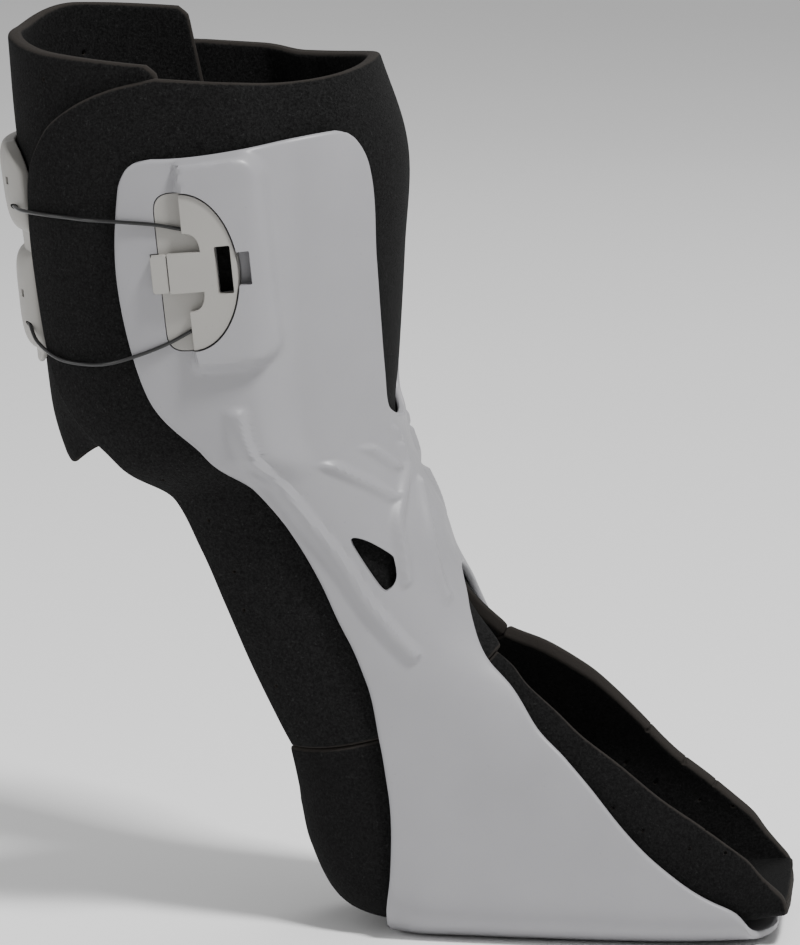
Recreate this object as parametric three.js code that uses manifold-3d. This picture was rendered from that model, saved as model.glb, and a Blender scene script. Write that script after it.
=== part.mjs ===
// Foot drop brace: a moulded shell that grips the calf, crosses the front of the ankle and runs
// under the foot, with foam liners, a calf pad and a wire closure. Millimetres, +Z up, toe at +X.
import * as THREE from "three";
import { mergeVertices } from "three/addons/utils/BufferGeometryUtils.js";
import Module from "manifold-3d";

const wasm = await Module();
wasm.setup();

// Overall sizes of the hollow that the leg and the foot fill
const leg_height = 298;
const calf_reach = 138;
const toe_reach = 126;
const calf_width = 104;
const foot_width = 74;

// Thickness of each layer, and the gap between neighbours
const pad_wall = 5;
const liner_wall = 5;
const shell_wall = 3;
const plate_wall = 2.2;
const fit_gap = 0.6;
const small_gap = 0.3;
const sole_trim = 0.4;
const tab_stand_off = 13;
const toe_spring = 4;

// Ribs moulded on the shell
const ridge_width = 4.4;
const ridge_rise = 1.5;
const rib_width = 3.2;
const rib_rise = 1.1;

// Closure on each wing: housing, catch plate, half-moon clasp and wires
const housing_depth = 29;
const housing_top = 38.5;
const housing_bottom = 34;
const housing_corner = 10;
const housing_rise = 4.5;
const clasp_depth = 17.5;
const clasp_half_height = 26.5;
const clasp_thick = 3.7;
const tongue_reach = 5.8;
const tongue_half_height = 6.7;
const catch_inlay = 1.5;
const catch_margin = 9;
const catch_block_depth = 5.5;
const catch_block_half_height = 6.4;
const catch_block_rise = 3.4;
const slot_depth = 5.2;
const slot_half_height = 8;
const lock_slot_depth = 3.8;
const lock_slot_half_height = 5.6;
const clasp_tilt = 5.5;
const wire_thick = 1.3;
const hood_rise = 4;
const wire_in_hood = 1.9;
const wire_over_edge = 3.3;
const lock_floor = 0.8;
const block_corner = 1;
const slot_corner = 0.6;

// The sole's skin is this far above the floor
const sole_height = liner_wall + fit_gap + shell_wall - sole_trim;

// Sections through the hollow, from the top of the calf to the toe. Each runs from a point at the
// back or the sole to a point at the front or the instep. Reaches are shares of calf_reach behind
// the ankle and of toe_reach ahead of it, heights are shares of leg_height above the sole, and the
// width is a share of calf_width plus a share of foot_width. Round and sole are
// the superellipse powers of its front half and of its back or sole half: 2 is a true ellipse.
const sections = [
  { back: -1.0, back_up: 1.0, front: -0.16, front_up: 0.97, calf: 0.96, foot: 0, round: 2.2, sole: 2.2 },
  { back: -0.98, back_up: 0.886, front: -0.09, front_up: 0.866, calf: 1.0, foot: 0, round: 2.2, sole: 2.2 },
  { back: -0.94, back_up: 0.752, front: -0.098, front_up: 0.752, calf: 1.0, foot: 0, round: 2.2, sole: 2.2 },
  { back: -0.9, back_up: 0.611, front: -0.112, front_up: 0.631, calf: 0.925, foot: 0, round: 2.2, sole: 2.2 },
  { back: -0.82, back_up: 0.544, front: -0.123, front_up: 0.57, calf: 0.856, foot: 0, round: 2.3, sole: 2.3 },
  { back: -0.675, back_up: 0.483, front: -0.109, front_up: 0.527, calf: 0.77, foot: 0, round: 2.4, sole: 2.4 },
  { back: -0.585, back_up: 0.416, front: -0.072, front_up: 0.48, calf: 0.71, foot: 0, round: 2.5, sole: 2.5 },
  { back: -0.515, back_up: 0.346, front: -0.022, front_up: 0.436, calf: 0.675, foot: 0, round: 2.6, sole: 2.6 },
  { back: -0.445, back_up: 0.275, front: 0.016, front_up: 0.389, calf: 0.655, foot: 0, round: 2.6, sole: 2.6 },
  { back: -0.375, back_up: 0.208, front: 0.095, front_up: 0.336, calf: 0.45, foot: 0.25, round: 2.6, sole: 2.6 },
  { back: -0.293, back_up: 0.134, front: 0.19, front_up: 0.302, calf: 0.2, foot: 0.58, round: 2.6, sole: 2.7 },
  { back: -0.257, back_up: 0.07, front: 0.3, front_up: 0.282, calf: 0, foot: 0.865, round: 2.5, sole: 3 },
  { back: -0.18, back_up: 0.015, front: 0.42, front_up: 0.258, calf: 0, foot: 0.88, round: 2.6, sole: 4.5 },
  { back: -0.035, back_up: 0, front: 0.53, front_up: 0.238, calf: 0, foot: 0.905, round: 2.8, sole: 7 },
  { back: 0.11, back_up: 0, front: 0.635, front_up: 0.208, calf: 0, foot: 0.945, round: 3, sole: 8 },
  { back: 0.3, back_up: 0, front: 0.73, front_up: 0.174, calf: 0, foot: 0.985, round: 3, sole: 8 },
  { back: 0.51, back_up: 0, front: 0.825, front_up: 0.141, calf: 0, foot: 1.0, round: 3, sole: 8 },
  { back: 0.73, back_up: 0.002, front: 0.92, front_up: 0.1, calf: 0, foot: 1.0, round: 3, sole: 8 },
  { back: 0.95, back_up: 0.007, front: 1.03, front_up: 0.06, calf: 0, foot: 0.97, round: 3, sole: 6 },
];

// Edges of each sheet: at a section, the angle from the front line (0) to the back line (180)
const shell_back_edge = [
  { at: 1.0, angle: 101 },
  { at: 1.03, angle: 105 },
  { at: 1.12, angle: 108.5 },
  { at: 1.3, angle: 111 },
  { at: 2, angle: 113.5 },
  { at: 3, angle: 108 },
  { at: 3.95, angle: 97.5 },
  { at: 5, angle: 92 },
  { at: 6, angle: 86.5 },
  { at: 6.75, angle: 85.2 },
  { at: 8.25, angle: 84 },
  { at: 9, angle: 87 },
  { at: 10, angle: 99 },
  { at: 11, angle: 107 },
  { at: 12, angle: 121 },
  { at: 12.6, angle: 136 },
  { at: 12.8, angle: 149 },
  { at: 12.95, angle: 165 },
  { at: 13.05, angle: 180 },
  { at: 18.03, angle: 180 },
];
const shell_front_edge = [
  { at: 1.0, angle: 47 },
  { at: 1.04, angle: 43 },
  { at: 1.12, angle: 40 },
  { at: 1.3, angle: 37 },
  { at: 2, angle: 33 },
  { at: 3, angle: 26.5 },
  { at: 3.7, angle: 22.5 },
  { at: 3.95, angle: 17 },
  { at: 4.1, angle: 9 },
  { at: 4.15, angle: 0 },
  { at: 8.25, angle: 0 },
  { at: 8.3, angle: 7 },
  { at: 8.45, angle: 14 },
  { at: 8.7, angle: 21 },
  { at: 9, angle: 28 },
  { at: 10, angle: 41 },
  { at: 11, angle: 46 },
  { at: 12, angle: 54 },
  { at: 13, angle: 61 },
  { at: 14, angle: 68 },
  { at: 15, angle: 78 },
  { at: 16, angle: 93 },
  { at: 17, angle: 112 },
  { at: 17.4, angle: 120 },
  { at: 17.7, angle: 131 },
  { at: 17.9, angle: 142 },
  { at: 18.0, angle: 152 },
  { at: 18.03, angle: 162 },
];
const upper_back_edge = [
  { at: 0.2, angle: 97 },
  { at: 0.35, angle: 111 },
  { at: 0.55, angle: 123 },
  { at: 0.85, angle: 135 },
  { at: 1.4, angle: 146 },
  { at: 2, angle: 149 },
  { at: 3, angle: 144.5 },
  { at: 3.45, angle: 139.4 },
  { at: 3.7, angle: 136.5 },
  { at: 3.95, angle: 134 },
  { at: 4.15, angle: 132.5 },
  { at: 5, angle: 132.5 },
  { at: 6, angle: 135 },
  { at: 7.5, angle: 137 },
  { at: 9.35, angle: 139 },
];
const upper_front_edge = [
  { at: 0.2, angle: 0 },
  { at: 8.3, angle: 0 },
  { at: 8.4, angle: 6 },
  { at: 8.7, angle: 13 },
  { at: 9.35, angle: 27 },
];
const foot_back_edge = [
  { at: 9.35, angle: 141 },
  { at: 9.7, angle: 148 },
  { at: 10.1, angle: 159 },
  { at: 10.4, angle: 180 },
  { at: 12.6, angle: 180 },
  { at: 12.8, angle: 180 },
  { at: 12.95, angle: 180 },
  { at: 13.05, angle: 180 },
  { at: 18.2, angle: 180 },
];
const foot_near_edge = [
  { at: 9.35, angle: 32 },
  { at: 10.4, angle: 36 },
  { at: 11, angle: 39 },
  { at: 12, angle: 44 },
  { at: 13, angle: 51 },
  { at: 14, angle: 54 },
  { at: 15, angle: 57 },
  { at: 16, angle: 60 },
  { at: 17, angle: 64 },
  { at: 17.5, angle: 74 },
  { at: 17.9, angle: 92 },
  { at: 18.12, angle: 122 },
  { at: 18.2, angle: 155 },
];
const foot_far_edge = [
  { at: 9.35, angle: 26 },
  { at: 10.4, angle: 21 },
  { at: 11, angle: 19 },
  { at: 12, angle: 27 },
  { at: 13, angle: 40 },
  { at: 14, angle: 48 },
  { at: 15, angle: 54 },
  { at: 16, angle: 59 },
  { at: 17, angle: 66 },
  { at: 17.5, angle: 79 },
  { at: 17.9, angle: 100 },
  { at: 18.12, angle: 126 },
  { at: 18.2, angle: 155 },
];
const pad_back_edge = [
  { at: 0, angle: 180 },
  { at: 4.12, angle: 180 },
];
const pad_front_edge = [
  { at: 0, angle: 100 },
  { at: 0.1, angle: 97 },
  { at: 3.2, angle: 96 },
  { at: 3.45, angle: 99 },
  { at: 3.7, angle: 106 },
  { at: 3.85, angle: 117 },
  { at: 3.95, angle: 129 },
  { at: 4.03, angle: 143 },
  { at: 4.09, angle: 157 },
  { at: 4.12, angle: 166 },
];
const plate_back_edge = [
  { at: 1.05, angle: 180 },
  { at: 2.85, angle: 180 },
];
const plate_front_edge = [
  { at: 1.05, angle: 164 },
  { at: 1.12, angle: 157 },
  { at: 1.3, angle: 152 },
  { at: 2.6, angle: 152 },
  { at: 2.78, angle: 157 },
  { at: 2.85, angle: 164 },
];

// Rows and angles that every sheet shares, so that neighbouring faces run side by side
const row_step = 0.75;
const angle_step = 15;

// The back plate has finer ones, for the shape of its hoods
const hood_rows = 0.17;
const hood_angles = 8;

// Where the closure sits, in the shares of the section table
const clasp_place = { reach: -0.5435, up: 0.7545 };
const upper_wire_section = 1.57;
const lower_wire_section = 2.5;
const hood_above_wire = 0.16;
const hood_half_height = 0.38;
const hood_half_angle = 28;

function reachAt(share) {
  return share * (share < 0 ? calf_reach : toe_reach);
}

function heightAt(share) {
  return sole_height + share * leg_height;
}

function halfWidth(row) {
  return (row.calf * calf_width + row.foot * foot_width) / 2;
}

const section_rows = sections.map((row) => [
  reachAt(row.back),
  heightAt(row.back_up),
  reachAt(row.front),
  heightAt(row.front_up),
  halfWidth(row),
  row.round,
  row.sole,
]);

// One smooth value between the rows of a table, by a Catmull-Rom curve
function sectionAt(place) {
  const last = section_rows.length - 1;
  const start = Math.min(Math.max(Math.floor(place), 0), last - 1);
  const t = place - start;
  const before = section_rows[Math.max(start - 1, 0)];
  const here = section_rows[start];
  const next = section_rows[start + 1];
  const after = section_rows[Math.min(start + 2, last)];
  return here.map((value, k) => {
    const leave = start > 0 ? (next[k] - before[k]) / 2 : next[k] - value;
    const arrive = start + 1 < last ? (after[k] - value) / 2 : next[k] - value;
    const rise = next[k] - value;
    const bend = 3 * rise - 2 * leave - arrive;
    const twist = leave + arrive - 2 * rise;
    return value + t * (leave + t * (bend + t * twist));
  });
}

// Skin of the hollow on the near side, before any layer is laid on it
function bareSkin(place, angle) {
  const [bx, bz, fx, fz, half, round, sole] = sectionAt(place);
  const turn = THREE.MathUtils.degToRad(angle);
  const along = Math.cos(turn);
  const across = Math.sin(turn);
  const power = along > 0 ? round : sole;
  const size = (Math.abs(along) ** power + Math.abs(across) ** power) ** (-1 / power);
  const share = (1 + along * size) / 2;
  return new THREE.Vector3(bx + share * (fx - bx), -half * across * size, bz + share * (fz - bz));
}

// A point that stands off the skin by lift, along the skin's own normal
function skin(place, angle, lift) {
  const ds = 0.02;
  const da = 0.5;
  const down = bareSkin(place + ds, angle).sub(bareSkin(place - ds, angle));
  const back = bareSkin(place, angle + da).sub(bareSkin(place, angle - da));
  const normal = back.cross(down).normalize();
  return bareSkin(place, angle).addScaledVector(normal, lift);
}

function smooth(low, high, value) {
  return THREE.MathUtils.smoothstep(value, low, high);
}

function edgeAt(edge, place) {
  const last = edge.length - 1;
  const found = edge.findIndex((row) => row.at >= place);
  const k = Math.min(Math.max(found < 0 ? last : found, 1), last);
  const slope = (n) => (edge[n].angle - edge[n - 1].angle) / (edge[n].at - edge[n - 1].at);
  const tangent = (n) => {
    if (n <= 0 || n >= last) {
      return n <= 0 ? slope(1) : slope(last);
    }
    const product = slope(n) * slope(n + 1);
    return product > 0 ? (2 * product) / (slope(n) + slope(n + 1)) : 0;
  };
  const width = edge[k].at - edge[k - 1].at;
  const t = Math.min(Math.max((place - edge[k - 1].at) / width, 0), 1);
  const rise = edge[k].angle - edge[k - 1].angle;
  const leave = tangent(k - 1) * width;
  const arrive = tangent(k) * width;
  const bend = 3 * rise - 2 * leave - arrive;
  const twist = leave + arrive - 2 * rise;
  return edge[k - 1].angle + t * (leave + t * (bend + t * twist));
}

// The upper liner steps outward over the calf pad, and so does the shell over the liner
function overPad(place, angle) {
  const rise = padOut(place, angle) + fit_gap;
  return rise * smooth(60, 76, angle) * (1 - smooth(4.1, 5.1, place));
}

function linerOut(place, angle) {
  return overPad(place, angle) + liner_wall;
}

function shellIn(place, angle) {
  return linerOut(place, angle) + fit_gap;
}

function shellOut(place, angle) {
  return shellIn(place, angle) + shell_wall;
}

// The pad's lower tab hangs straight down, so it leaves the skin behind the Achilles tendon
function padIn(place, angle) {
  return tab_stand_off * smooth(2.6, 4.9, place) * smooth(148, 170, angle);
}

function padOut(place, angle) {
  return padIn(place, angle) + pad_wall;
}

function plateIn(place, angle) {
  return padOut(place, angle) + fit_gap;
}

function hoodShape(place, angle, wire_section) {
  const u = (place - wire_section + hood_above_wire) / hood_half_height;
  const v = (180 - angle) / hood_half_angle;
  return Math.sqrt(Math.max(0, 1 - u ** 4)) * Math.sqrt(Math.max(0, 1 - v ** 4));
}

function plateOut(place, angle) {
  const upper = hoodShape(place, angle, upper_wire_section);
  const lower = hoodShape(place, angle, lower_wire_section);
  return plateIn(place, angle) + plate_wall + hood_rise * Math.max(upper, lower);
}

// Slants of the top edges and of the seam between the two liners, as shifts along the sections
function wingSlant(place, angle) {
  return -0.3 * smooth(40, 105, 145 - angle) * (1 - smooth(1, 2.4, place));
}

function collarSlant(place, angle) {
  return -0.2 * (1 - smooth(0, 70, angle)) * (1 - smooth(0.2, 1.4, place));
}

function seamSlant(angle) {
  return 0.8 * Math.min(Math.max((139 - angle) / 52, 0), 1);
}

function upperSlant(place, angle) {
  return collarSlant(place, angle) + seamSlant(angle) * smooth(8, 9.35, place);
}

function footSlant(place, angle) {
  return (seamSlant(angle) + 0.04) * (1 - smooth(9.35, 11.5, place));
}

// The pad stands a little higher on the far side than on the near side
function padSlant(place, angle, side) {
  const turn = smooth(6, 45, 180 - angle) * (1 - smooth(0, 1.6, place));
  return turn * (side > 0 ? 0.08 : -0.18);
}

// The toe of the foot liner springs up from the sole plate
function toeLift(place) {
  return toe_spring * smooth(16.8, 18.2, place);
}

function noSlant() {
  return 0;
}

// Rows of a sheet: the rows of its edge tables, and the shared rows between them
function stations(edges, step) {
  const given = edges.flat().map((row) => row.at);
  const low = Math.min(...given);
  const high = Math.max(...given);
  for (let n = Math.ceil(low / step); n * step < high; n++) {
    if (!given.some((at) => Math.abs(at - n * step) < step / 4)) {
      given.push(n * step);
    }
  }
  return [...new Set(given)].sort((a, b) => a - b);
}

// Angles of one row, from its back edge to its front edge, through the shared angles between them
function anglesAcross(from, to, step) {
  const angles = [from];
  for (let n = Math.floor(180 / step); n >= 0; n--) {
    const angle = n * step;
    if (angle < from - step / 4 && angle > to + step / 4) {
      angles.push(angle);
    }
  }
  angles.push(to);
  return angles;
}

// A closed sheet between two offsets of the skin. It is built on the near side, mirrored, joined
// where it meets the middle plane, and walled along every free edge.
function sheet({
  back,
  front,
  far_front = front,
  inner,
  outer,
  slant = noSlant,
  sides = [1, -1],
  rows_apart = row_step,
  angles_apart = angle_step,
}) {
  const outside = [];
  const inside = [];
  const known = new Map();
  function corner(side, place, angle) {
    const at = place + slant(place, angle, side);
    const high = skin(at, angle, outer(at, angle));
    const low = skin(at, angle, inner(at, angle));
    if (angle <= 0 || angle >= 180) {
      high.y = 0;
      low.y = 0;
    }
    high.y *= side;
    low.y *= side;
    const key = [high.x, high.y, high.z].map((value) => Math.round(value * 1e4) + 0).join();
    if (!known.has(key)) {
      known.set(key, outside.length);
      outside.push(high);
      inside.push(low);
    }
    return known.get(key);
  }
  const faces = [];
  function face(side, a, b, c) {
    if (a !== b && b !== c && c !== a) {
      faces.push(side > 0 ? [a, b, c] : [a, c, b]);
    }
  }
  function strip(side, upper, lower) {
    let a = 0;
    let b = 0;
    while (a + 1 < upper.length || b + 1 < lower.length) {
      const upper_next = a + 1 < upper.length ? upper[a + 1].angle : -Infinity;
      const lower_next = b + 1 < lower.length ? lower[b + 1].angle : -Infinity;
      if (upper_next >= lower_next) {
        face(side, upper[a].index, lower[b].index, upper[a + 1].index);
        a += 1;
      } else {
        face(side, upper[a].index, lower[b].index, lower[b + 1].index);
        b += 1;
      }
    }
  }
  for (const side of sides) {
    const front_here = side > 0 ? front : far_front;
    const rows = stations([back, front_here], rows_apart);
    const grid = rows.map((place) => {
      const angles = anglesAcross(edgeAt(back, place), edgeAt(front_here, place), angles_apart);
      return angles.map((angle) => ({ angle, index: corner(side, place, angle) }));
    });
    for (let i = 0; i + 1 < grid.length; i++) {
      strip(side, grid[i], grid[i + 1]);
    }
  }
  const count = outside.length;
  const used = new Set(faces.flatMap(([a, b, c]) => [`${a},${b}`, `${b},${c}`, `${c},${a}`]));
  const triangles = [];
  for (const [a, b, c] of faces) {
    triangles.push([a, b, c], [a + count, c + count, b + count]);
    for (const [p, q] of [[a, b], [b, c], [c, a]]) {
      if (!used.has(`${q},${p}`)) {
        triangles.push([q, p, p + count], [q, p + count, q + count]);
      }
    }
  }
  const geometry = new THREE.BufferGeometry();
  const points = [...outside, ...inside].flatMap((point) => point.toArray());
  geometry.setAttribute("position", new THREE.Float32BufferAttribute(points, 3));
  geometry.setIndex(triangles.flat());
  return geometry;
}

// Between three.js geometry and solids that can be joined and cut
function solid(geometry) {
  geometry.deleteAttribute("normal");
  geometry.deleteAttribute("uv");
  const merged = mergeVertices(geometry, 1e-4);
  const vertProperties = new Float32Array(merged.getAttribute("position").array);
  const triVerts = new Uint32Array(merged.getIndex().array);
  return new wasm.Manifold(new wasm.Mesh({ numProp: 3, vertProperties, triVerts }));
}

function geometryOf(body) {
  const mesh = body.getMesh();
  const geometry = new THREE.BufferGeometry();
  geometry.setAttribute("position", new THREE.Float32BufferAttribute(mesh.vertProperties, 3));
  geometry.setIndex(Array.from(mesh.triVerts));
  return geometry;
}

// A flat outline beside the calf, drawn from the clasp's middle, pushed through the whole width
function prism(shape) {
  const depth = calf_width * 2;
  const geometry = new THREE.ExtrudeGeometry(shape, { depth, bevelEnabled: false, curveSegments: 4 });
  geometry.translate(0, 0, -depth / 2);
  const tilt = THREE.MathUtils.degToRad(clasp_tilt);
  const forward = new THREE.Vector3(Math.cos(tilt), 0, Math.sin(tilt));
  const upward = new THREE.Vector3(-Math.sin(tilt), 0, Math.cos(tilt));
  const outward = new THREE.Vector3(0, -1, 0);
  const placed = new THREE.Matrix4().makeBasis(forward, upward, outward);
  placed.setPosition(reachAt(clasp_place.reach), 0, heightAt(clasp_place.up));
  geometry.applyMatrix4(placed);
  return solid(geometry);
}

// A slab of the wing's own curvature, between two heights above the shell's outer face
function wingSlab(low, high, sides) {
  const geometry = sheet({
    back: [{ at: 0.85, angle: 128 }, { at: 3.5, angle: 128 }],
    front: [{ at: 0.85, angle: 46 }, { at: 3.5, angle: 46 }],
    inner: (place, angle) => shellOut(place, angle) + low,
    outer: (place, angle) => shellOut(place, angle) + high,
    sides,
  });
  return solid(geometry);
}

function roundedBox(left, bottom, right, top, radius) {
  const shape = new THREE.Shape();
  shape.moveTo(left, bottom);
  shape.lineTo(right - radius, bottom);
  shape.absarc(right - radius, bottom + radius, radius, -Math.PI / 2, 0);
  shape.absarc(right - radius, top - radius, radius, 0, Math.PI / 2);
  shape.lineTo(left, top);
  shape.closePath();
  return shape;
}

// Half an ellipse with its straight side at the back
function halfMoon(grow) {
  const shape = new THREE.Shape();
  const steps = 10;
  for (let n = 0; n <= steps; n++) {
    const turn = Math.PI / 2 - (Math.PI * n) / steps;
    const x = (clasp_depth + grow) * Math.cos(turn);
    const y = (clasp_half_height + grow) * Math.sin(turn);
    if (n === 0) {
      shape.moveTo(x, y);
    } else {
      shape.lineTo(x, y);
    }
  }
  return shape;
}

function claspOutline() {
  const shape = halfMoon(-small_gap);
  const lobe = clasp_half_height / 2;
  const root = tongue_reach * 0.95;
  const tongue = tongue_half_height;
  shape.lineTo(0, -lobe);
  shape.quadraticCurveTo(root, -lobe, root, -tongue);
  shape.lineTo(-tongue_reach, -tongue);
  shape.lineTo(-tongue_reach, tongue);
  shape.lineTo(root, tongue);
  shape.quadraticCurveTo(root, lobe, 0, lobe);
  shape.closePath();
  return shape;
}

// Catch plate under the clasp: the half moon, and a round-cornered strip behind its straight side
function catchOutline(grow) {
  const shape = halfMoon(grow);
  const left = -catch_margin - grow;
  const height = clasp_half_height + grow;
  const round = catch_margin * 0.7;
  shape.lineTo(left + round, -height);
  shape.quadraticCurveTo(left, -height, left, -height + round);
  const block_left = -tongue_reach - small_gap - catch_block_depth - grow;
  const block_half = catch_block_half_height + grow;
  shape.lineTo(left, -block_half);
  shape.lineTo(block_left, -block_half);
  shape.lineTo(block_left, block_half);
  shape.lineTo(left, block_half);
  shape.lineTo(left, height - round);
  shape.quadraticCurveTo(left, height, left + round, height);
  shape.closePath();
  return shape;
}

function catchBlockOutline() {
  const right = -tongue_reach - small_gap;
  const left = right - catch_block_depth;
  const half = catch_block_half_height;
  return roundedBox(left, -half, right, half, block_corner);
}

// A tube with a round section along a curve of points on the skin
function tube(points, width, steps, sides) {
  const shape = new THREE.Shape();
  for (let n = 0; n < sides; n++) {
    const turn = (2 * Math.PI * n) / sides;
    const x = (width / 2) * Math.cos(turn);
    const y = (width / 2) * Math.sin(turn);
    if (n === 0) {
      shape.moveTo(x, y);
    } else {
      shape.lineTo(x, y);
    }
  }
  shape.closePath();
  const path = new THREE.CatmullRomCurve3(points, false, "centripetal");
  return new THREE.ExtrudeGeometry(shape, { steps, extrudePath: path, curveSegments: 1 });
}

// Ribs of the shell, as points on its outer face: section, angle
const ribs = [
  {
    wide: true,
    steps: 11,
    line: [[3.3, 80.5], [4, 82.5], [4.9, 83.5], [5.2, 82.5], [6.4, 75], [7.65, 69], [8.45, 63.5], [9.05, 60]],
  },
  { wide: false, steps: 7, line: [[4.85, 20], [5.4, 21], [6, 33], [6.7, 45], [7.3, 48.5], [7.9, 51]] },
  { wide: false, steps: 6, line: [[5.9, 13], [6.6, 24], [7.2, 31], [7.8, 34], [8.6, 37]] },
  { wide: false, steps: 3, line: [[4.8, 58], [5.3, 47], [6, 35]] },
  { wide: false, steps: 2, line: [[4.6, 38], [5, 31], [5.45, 23]] },
  { wide: false, steps: 1, line: [[4.3, 25], [4.8, 20]] },
];

function ribSolid(rib, side) {
  const width = rib.wide ? ridge_width : rib_width;
  const rise = rib.wide ? ridge_rise : rib_rise;
  const points = rib.line.map(([place, angle]) => {
    const point = skin(place, angle, shellOut(place, angle) + rise - width / 2);
    point.y *= side;
    return point;
  });
  return solid(tube(points, width, rib.steps, 5));
}

// The drop-shaped window low on each side, as shares of the section table
const window_points = [
  { reach: -0.165, up: 0.436 },
  { reach: -0.135, up: 0.439 },
  { reach: -0.075, up: 0.422 },
  { reach: -0.062, up: 0.412 },
  { reach: -0.058, up: 0.393 },
  { reach: -0.075, up: 0.381 },
  { reach: -0.098, up: 0.385 },
];

function windowCut() {
  const shape = new THREE.Shape();
  const corners = window_points.map((row) => new THREE.Vector2(reachAt(row.reach), heightAt(row.up)));
  shape.setFromPoints(new THREE.SplineCurve([...corners, corners[0]]).getPoints(9));
  const depth = calf_width * 2;
  const geometry = new THREE.ExtrudeGeometry(shape, { depth, bevelEnabled: false });
  geometry.translate(0, 0, -depth / 2);
  geometry.rotateX(Math.PI / 2);
  return solid(geometry);
}

// Everything under the floor, to flatten the sole
function underFloor() {
  const size = 4 * calf_reach;
  const geometry = new THREE.BoxGeometry(size, size, calf_reach);
  geometry.translate(0, 0, -calf_reach / 2);
  return solid(geometry);
}

function shellBody() {
  let body = solid(sheet({
    back: shell_back_edge,
    front: shell_front_edge,
    inner: shellIn,
    outer: shellOut,
    slant: wingSlant,
  }));
  const housing = roundedBox(-small_gap, -housing_bottom, housing_depth, housing_top, housing_corner);
  body = body.add(wingSlab(-shell_wall / 2, housing_rise).intersect(prism(housing)));
  for (const rib of ribs) {
    body = body.add(ribSolid(rib, 1));
    body = body.add(ribSolid(rib, -1));
  }
  const above = housing_rise + shell_wall;
  const pocket_floor = -catch_inlay - small_gap;
  body = body.subtract(wingSlab(pocket_floor, above).intersect(prism(catchOutline(small_gap))));
  const lock_left = clasp_depth + small_gap;
  const lock_half = lock_slot_half_height;
  const lock = roundedBox(lock_left - 1, -lock_half, lock_left + lock_slot_depth, lock_half, slot_corner);
  body = body.subtract(wingSlab(lock_floor, above).intersect(prism(lock)));
  body = body.subtract(windowCut());
  return body.subtract(underFloor());
}

function catchBody(side) {
  const plate = wingSlab(-catch_inlay, 0, [side]).intersect(prism(catchOutline(0)));
  const block = wingSlab(-catch_inlay / 2, catch_block_rise, [side]);
  return plate.add(block.intersect(prism(catchBlockOutline())));
}

function claspBody(side) {
  const moon = wingSlab(small_gap, clasp_thick, [side]).intersect(prism(claspOutline()));
  const left = clasp_depth * 0.58;
  const slot = roundedBox(left, -slot_half_height, left + slot_depth, slot_half_height, slot_corner);
  const cut = wingSlab(-1, clasp_thick + 2, [side]).intersect(prism(slot));
  return moon.subtract(cut).subtract(wireWay(upper_wire_rows)).subtract(wireWay(lower_wire_rows));
}

// Wires, from the middle of the back to the clasp: section, angle, the face that carries the wire,
// and the height of the wire's middle over that face
const wire_steps = 22;
const wire_rest = wire_thick / 2 + small_gap;
const in_hood = plate_wall + wire_in_hood;

function wireHalf(rows) {
  return rows.map(([place, angle, base, extra]) => skin(place, angle, base(place, angle) + extra));
}

const upper_wire_rows = [
  [upper_wire_section, 180, plateIn, in_hood],
  [upper_wire_section, 168, plateIn, in_hood],
  [upper_wire_section, 157, plateIn, in_hood + 0.9],
  [upper_wire_section, 149, linerOut, wire_rest + 0.1],
  [upper_wire_section, 138, linerOut, wire_rest],
  [upper_wire_section, 128, linerOut, wire_rest + 0.3],
  [upper_wire_section - 0.01, 119.5, linerOut, wire_rest + wire_over_edge],
  [upper_wire_section - 0.01, 110, shellOut, wire_rest + 0.1],
  [upper_wire_section, 101, shellOut, wire_rest],
  [upper_wire_section + 0.03, 93.5, shellOut, wire_rest + 0.2],
];
const lower_wire_rows = [
  [lower_wire_section, 180, plateIn, in_hood],
  [lower_wire_section, 168, plateIn, in_hood],
  [lower_wire_section + 0.02, 157, plateIn, in_hood + 0.9],
  [lower_wire_section + 0.12, 149, linerOut, wire_rest + 0.1],
  [lower_wire_section + 0.22, 138, linerOut, wire_rest],
  [lower_wire_section + 0.24, 127, linerOut, wire_rest + 0.3],
  [lower_wire_section + 0.2, 117.5, linerOut, wire_rest + wire_over_edge],
  [lower_wire_section + 0.12, 108, shellOut, wire_rest + 0.1],
  [lower_wire_section + 0.02, 99, shellOut, wire_rest],
  [lower_wire_section - 0.08, 92, shellOut, wire_rest + 0.2],
];

function wirePath(rows) {
  const near = wireHalf(rows);
  near[0].y = 0;
  const far = near.slice(1).map((point) => new THREE.Vector3(point.x, -point.y, point.z));
  return [...near.reverse(), ...far];
}

function wireGeometry(rows) {
  return tube(wirePath(rows), wire_thick, wire_steps, 8);
}

// The hole that a wire runs in, through a hood or into a clasp. It goes on past the wire's ends.
function wireWay(rows) {
  const points = wirePath(rows);
  const reach = 2 * small_gap;
  for (const [end, inner] of [[0, 1], [points.length - 1, points.length - 2]]) {
    const onward = points[end].clone().sub(points[inner]).setLength(reach);
    points[end].add(onward);
  }
  return solid(tube(points, wire_thick + 2 * small_gap, wire_steps, 8));
}

function plateBody() {
  const body = solid(sheet({
    back: plate_back_edge,
    front: plate_front_edge,
    inner: plateIn,
    outer: plateOut,
    rows_apart: hood_rows,
    angles_apart: hood_angles,
  }));
  return body.subtract(wireWay(upper_wire_rows)).subtract(wireWay(lower_wire_rows));
}

function plastic(color, roughness) {
  return new THREE.MeshStandardMaterial({ color, roughness, metalness: 0 });
}

const shell_grey = plastic(0xa6a5a9, 0.38);
const clasp_grey = plastic(0xabaaa7, 0.42);
const foam_black = plastic(0x161617, 0.95);
const foot_black = plastic(0x1b1b1d, 0.85);
const wire_black = plastic(0x0d0d0e, 0.35);

// The origin is on the foot bed, under the ankle
const brace = new THREE.Group();
brace.position.z = -sole_height;

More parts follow.
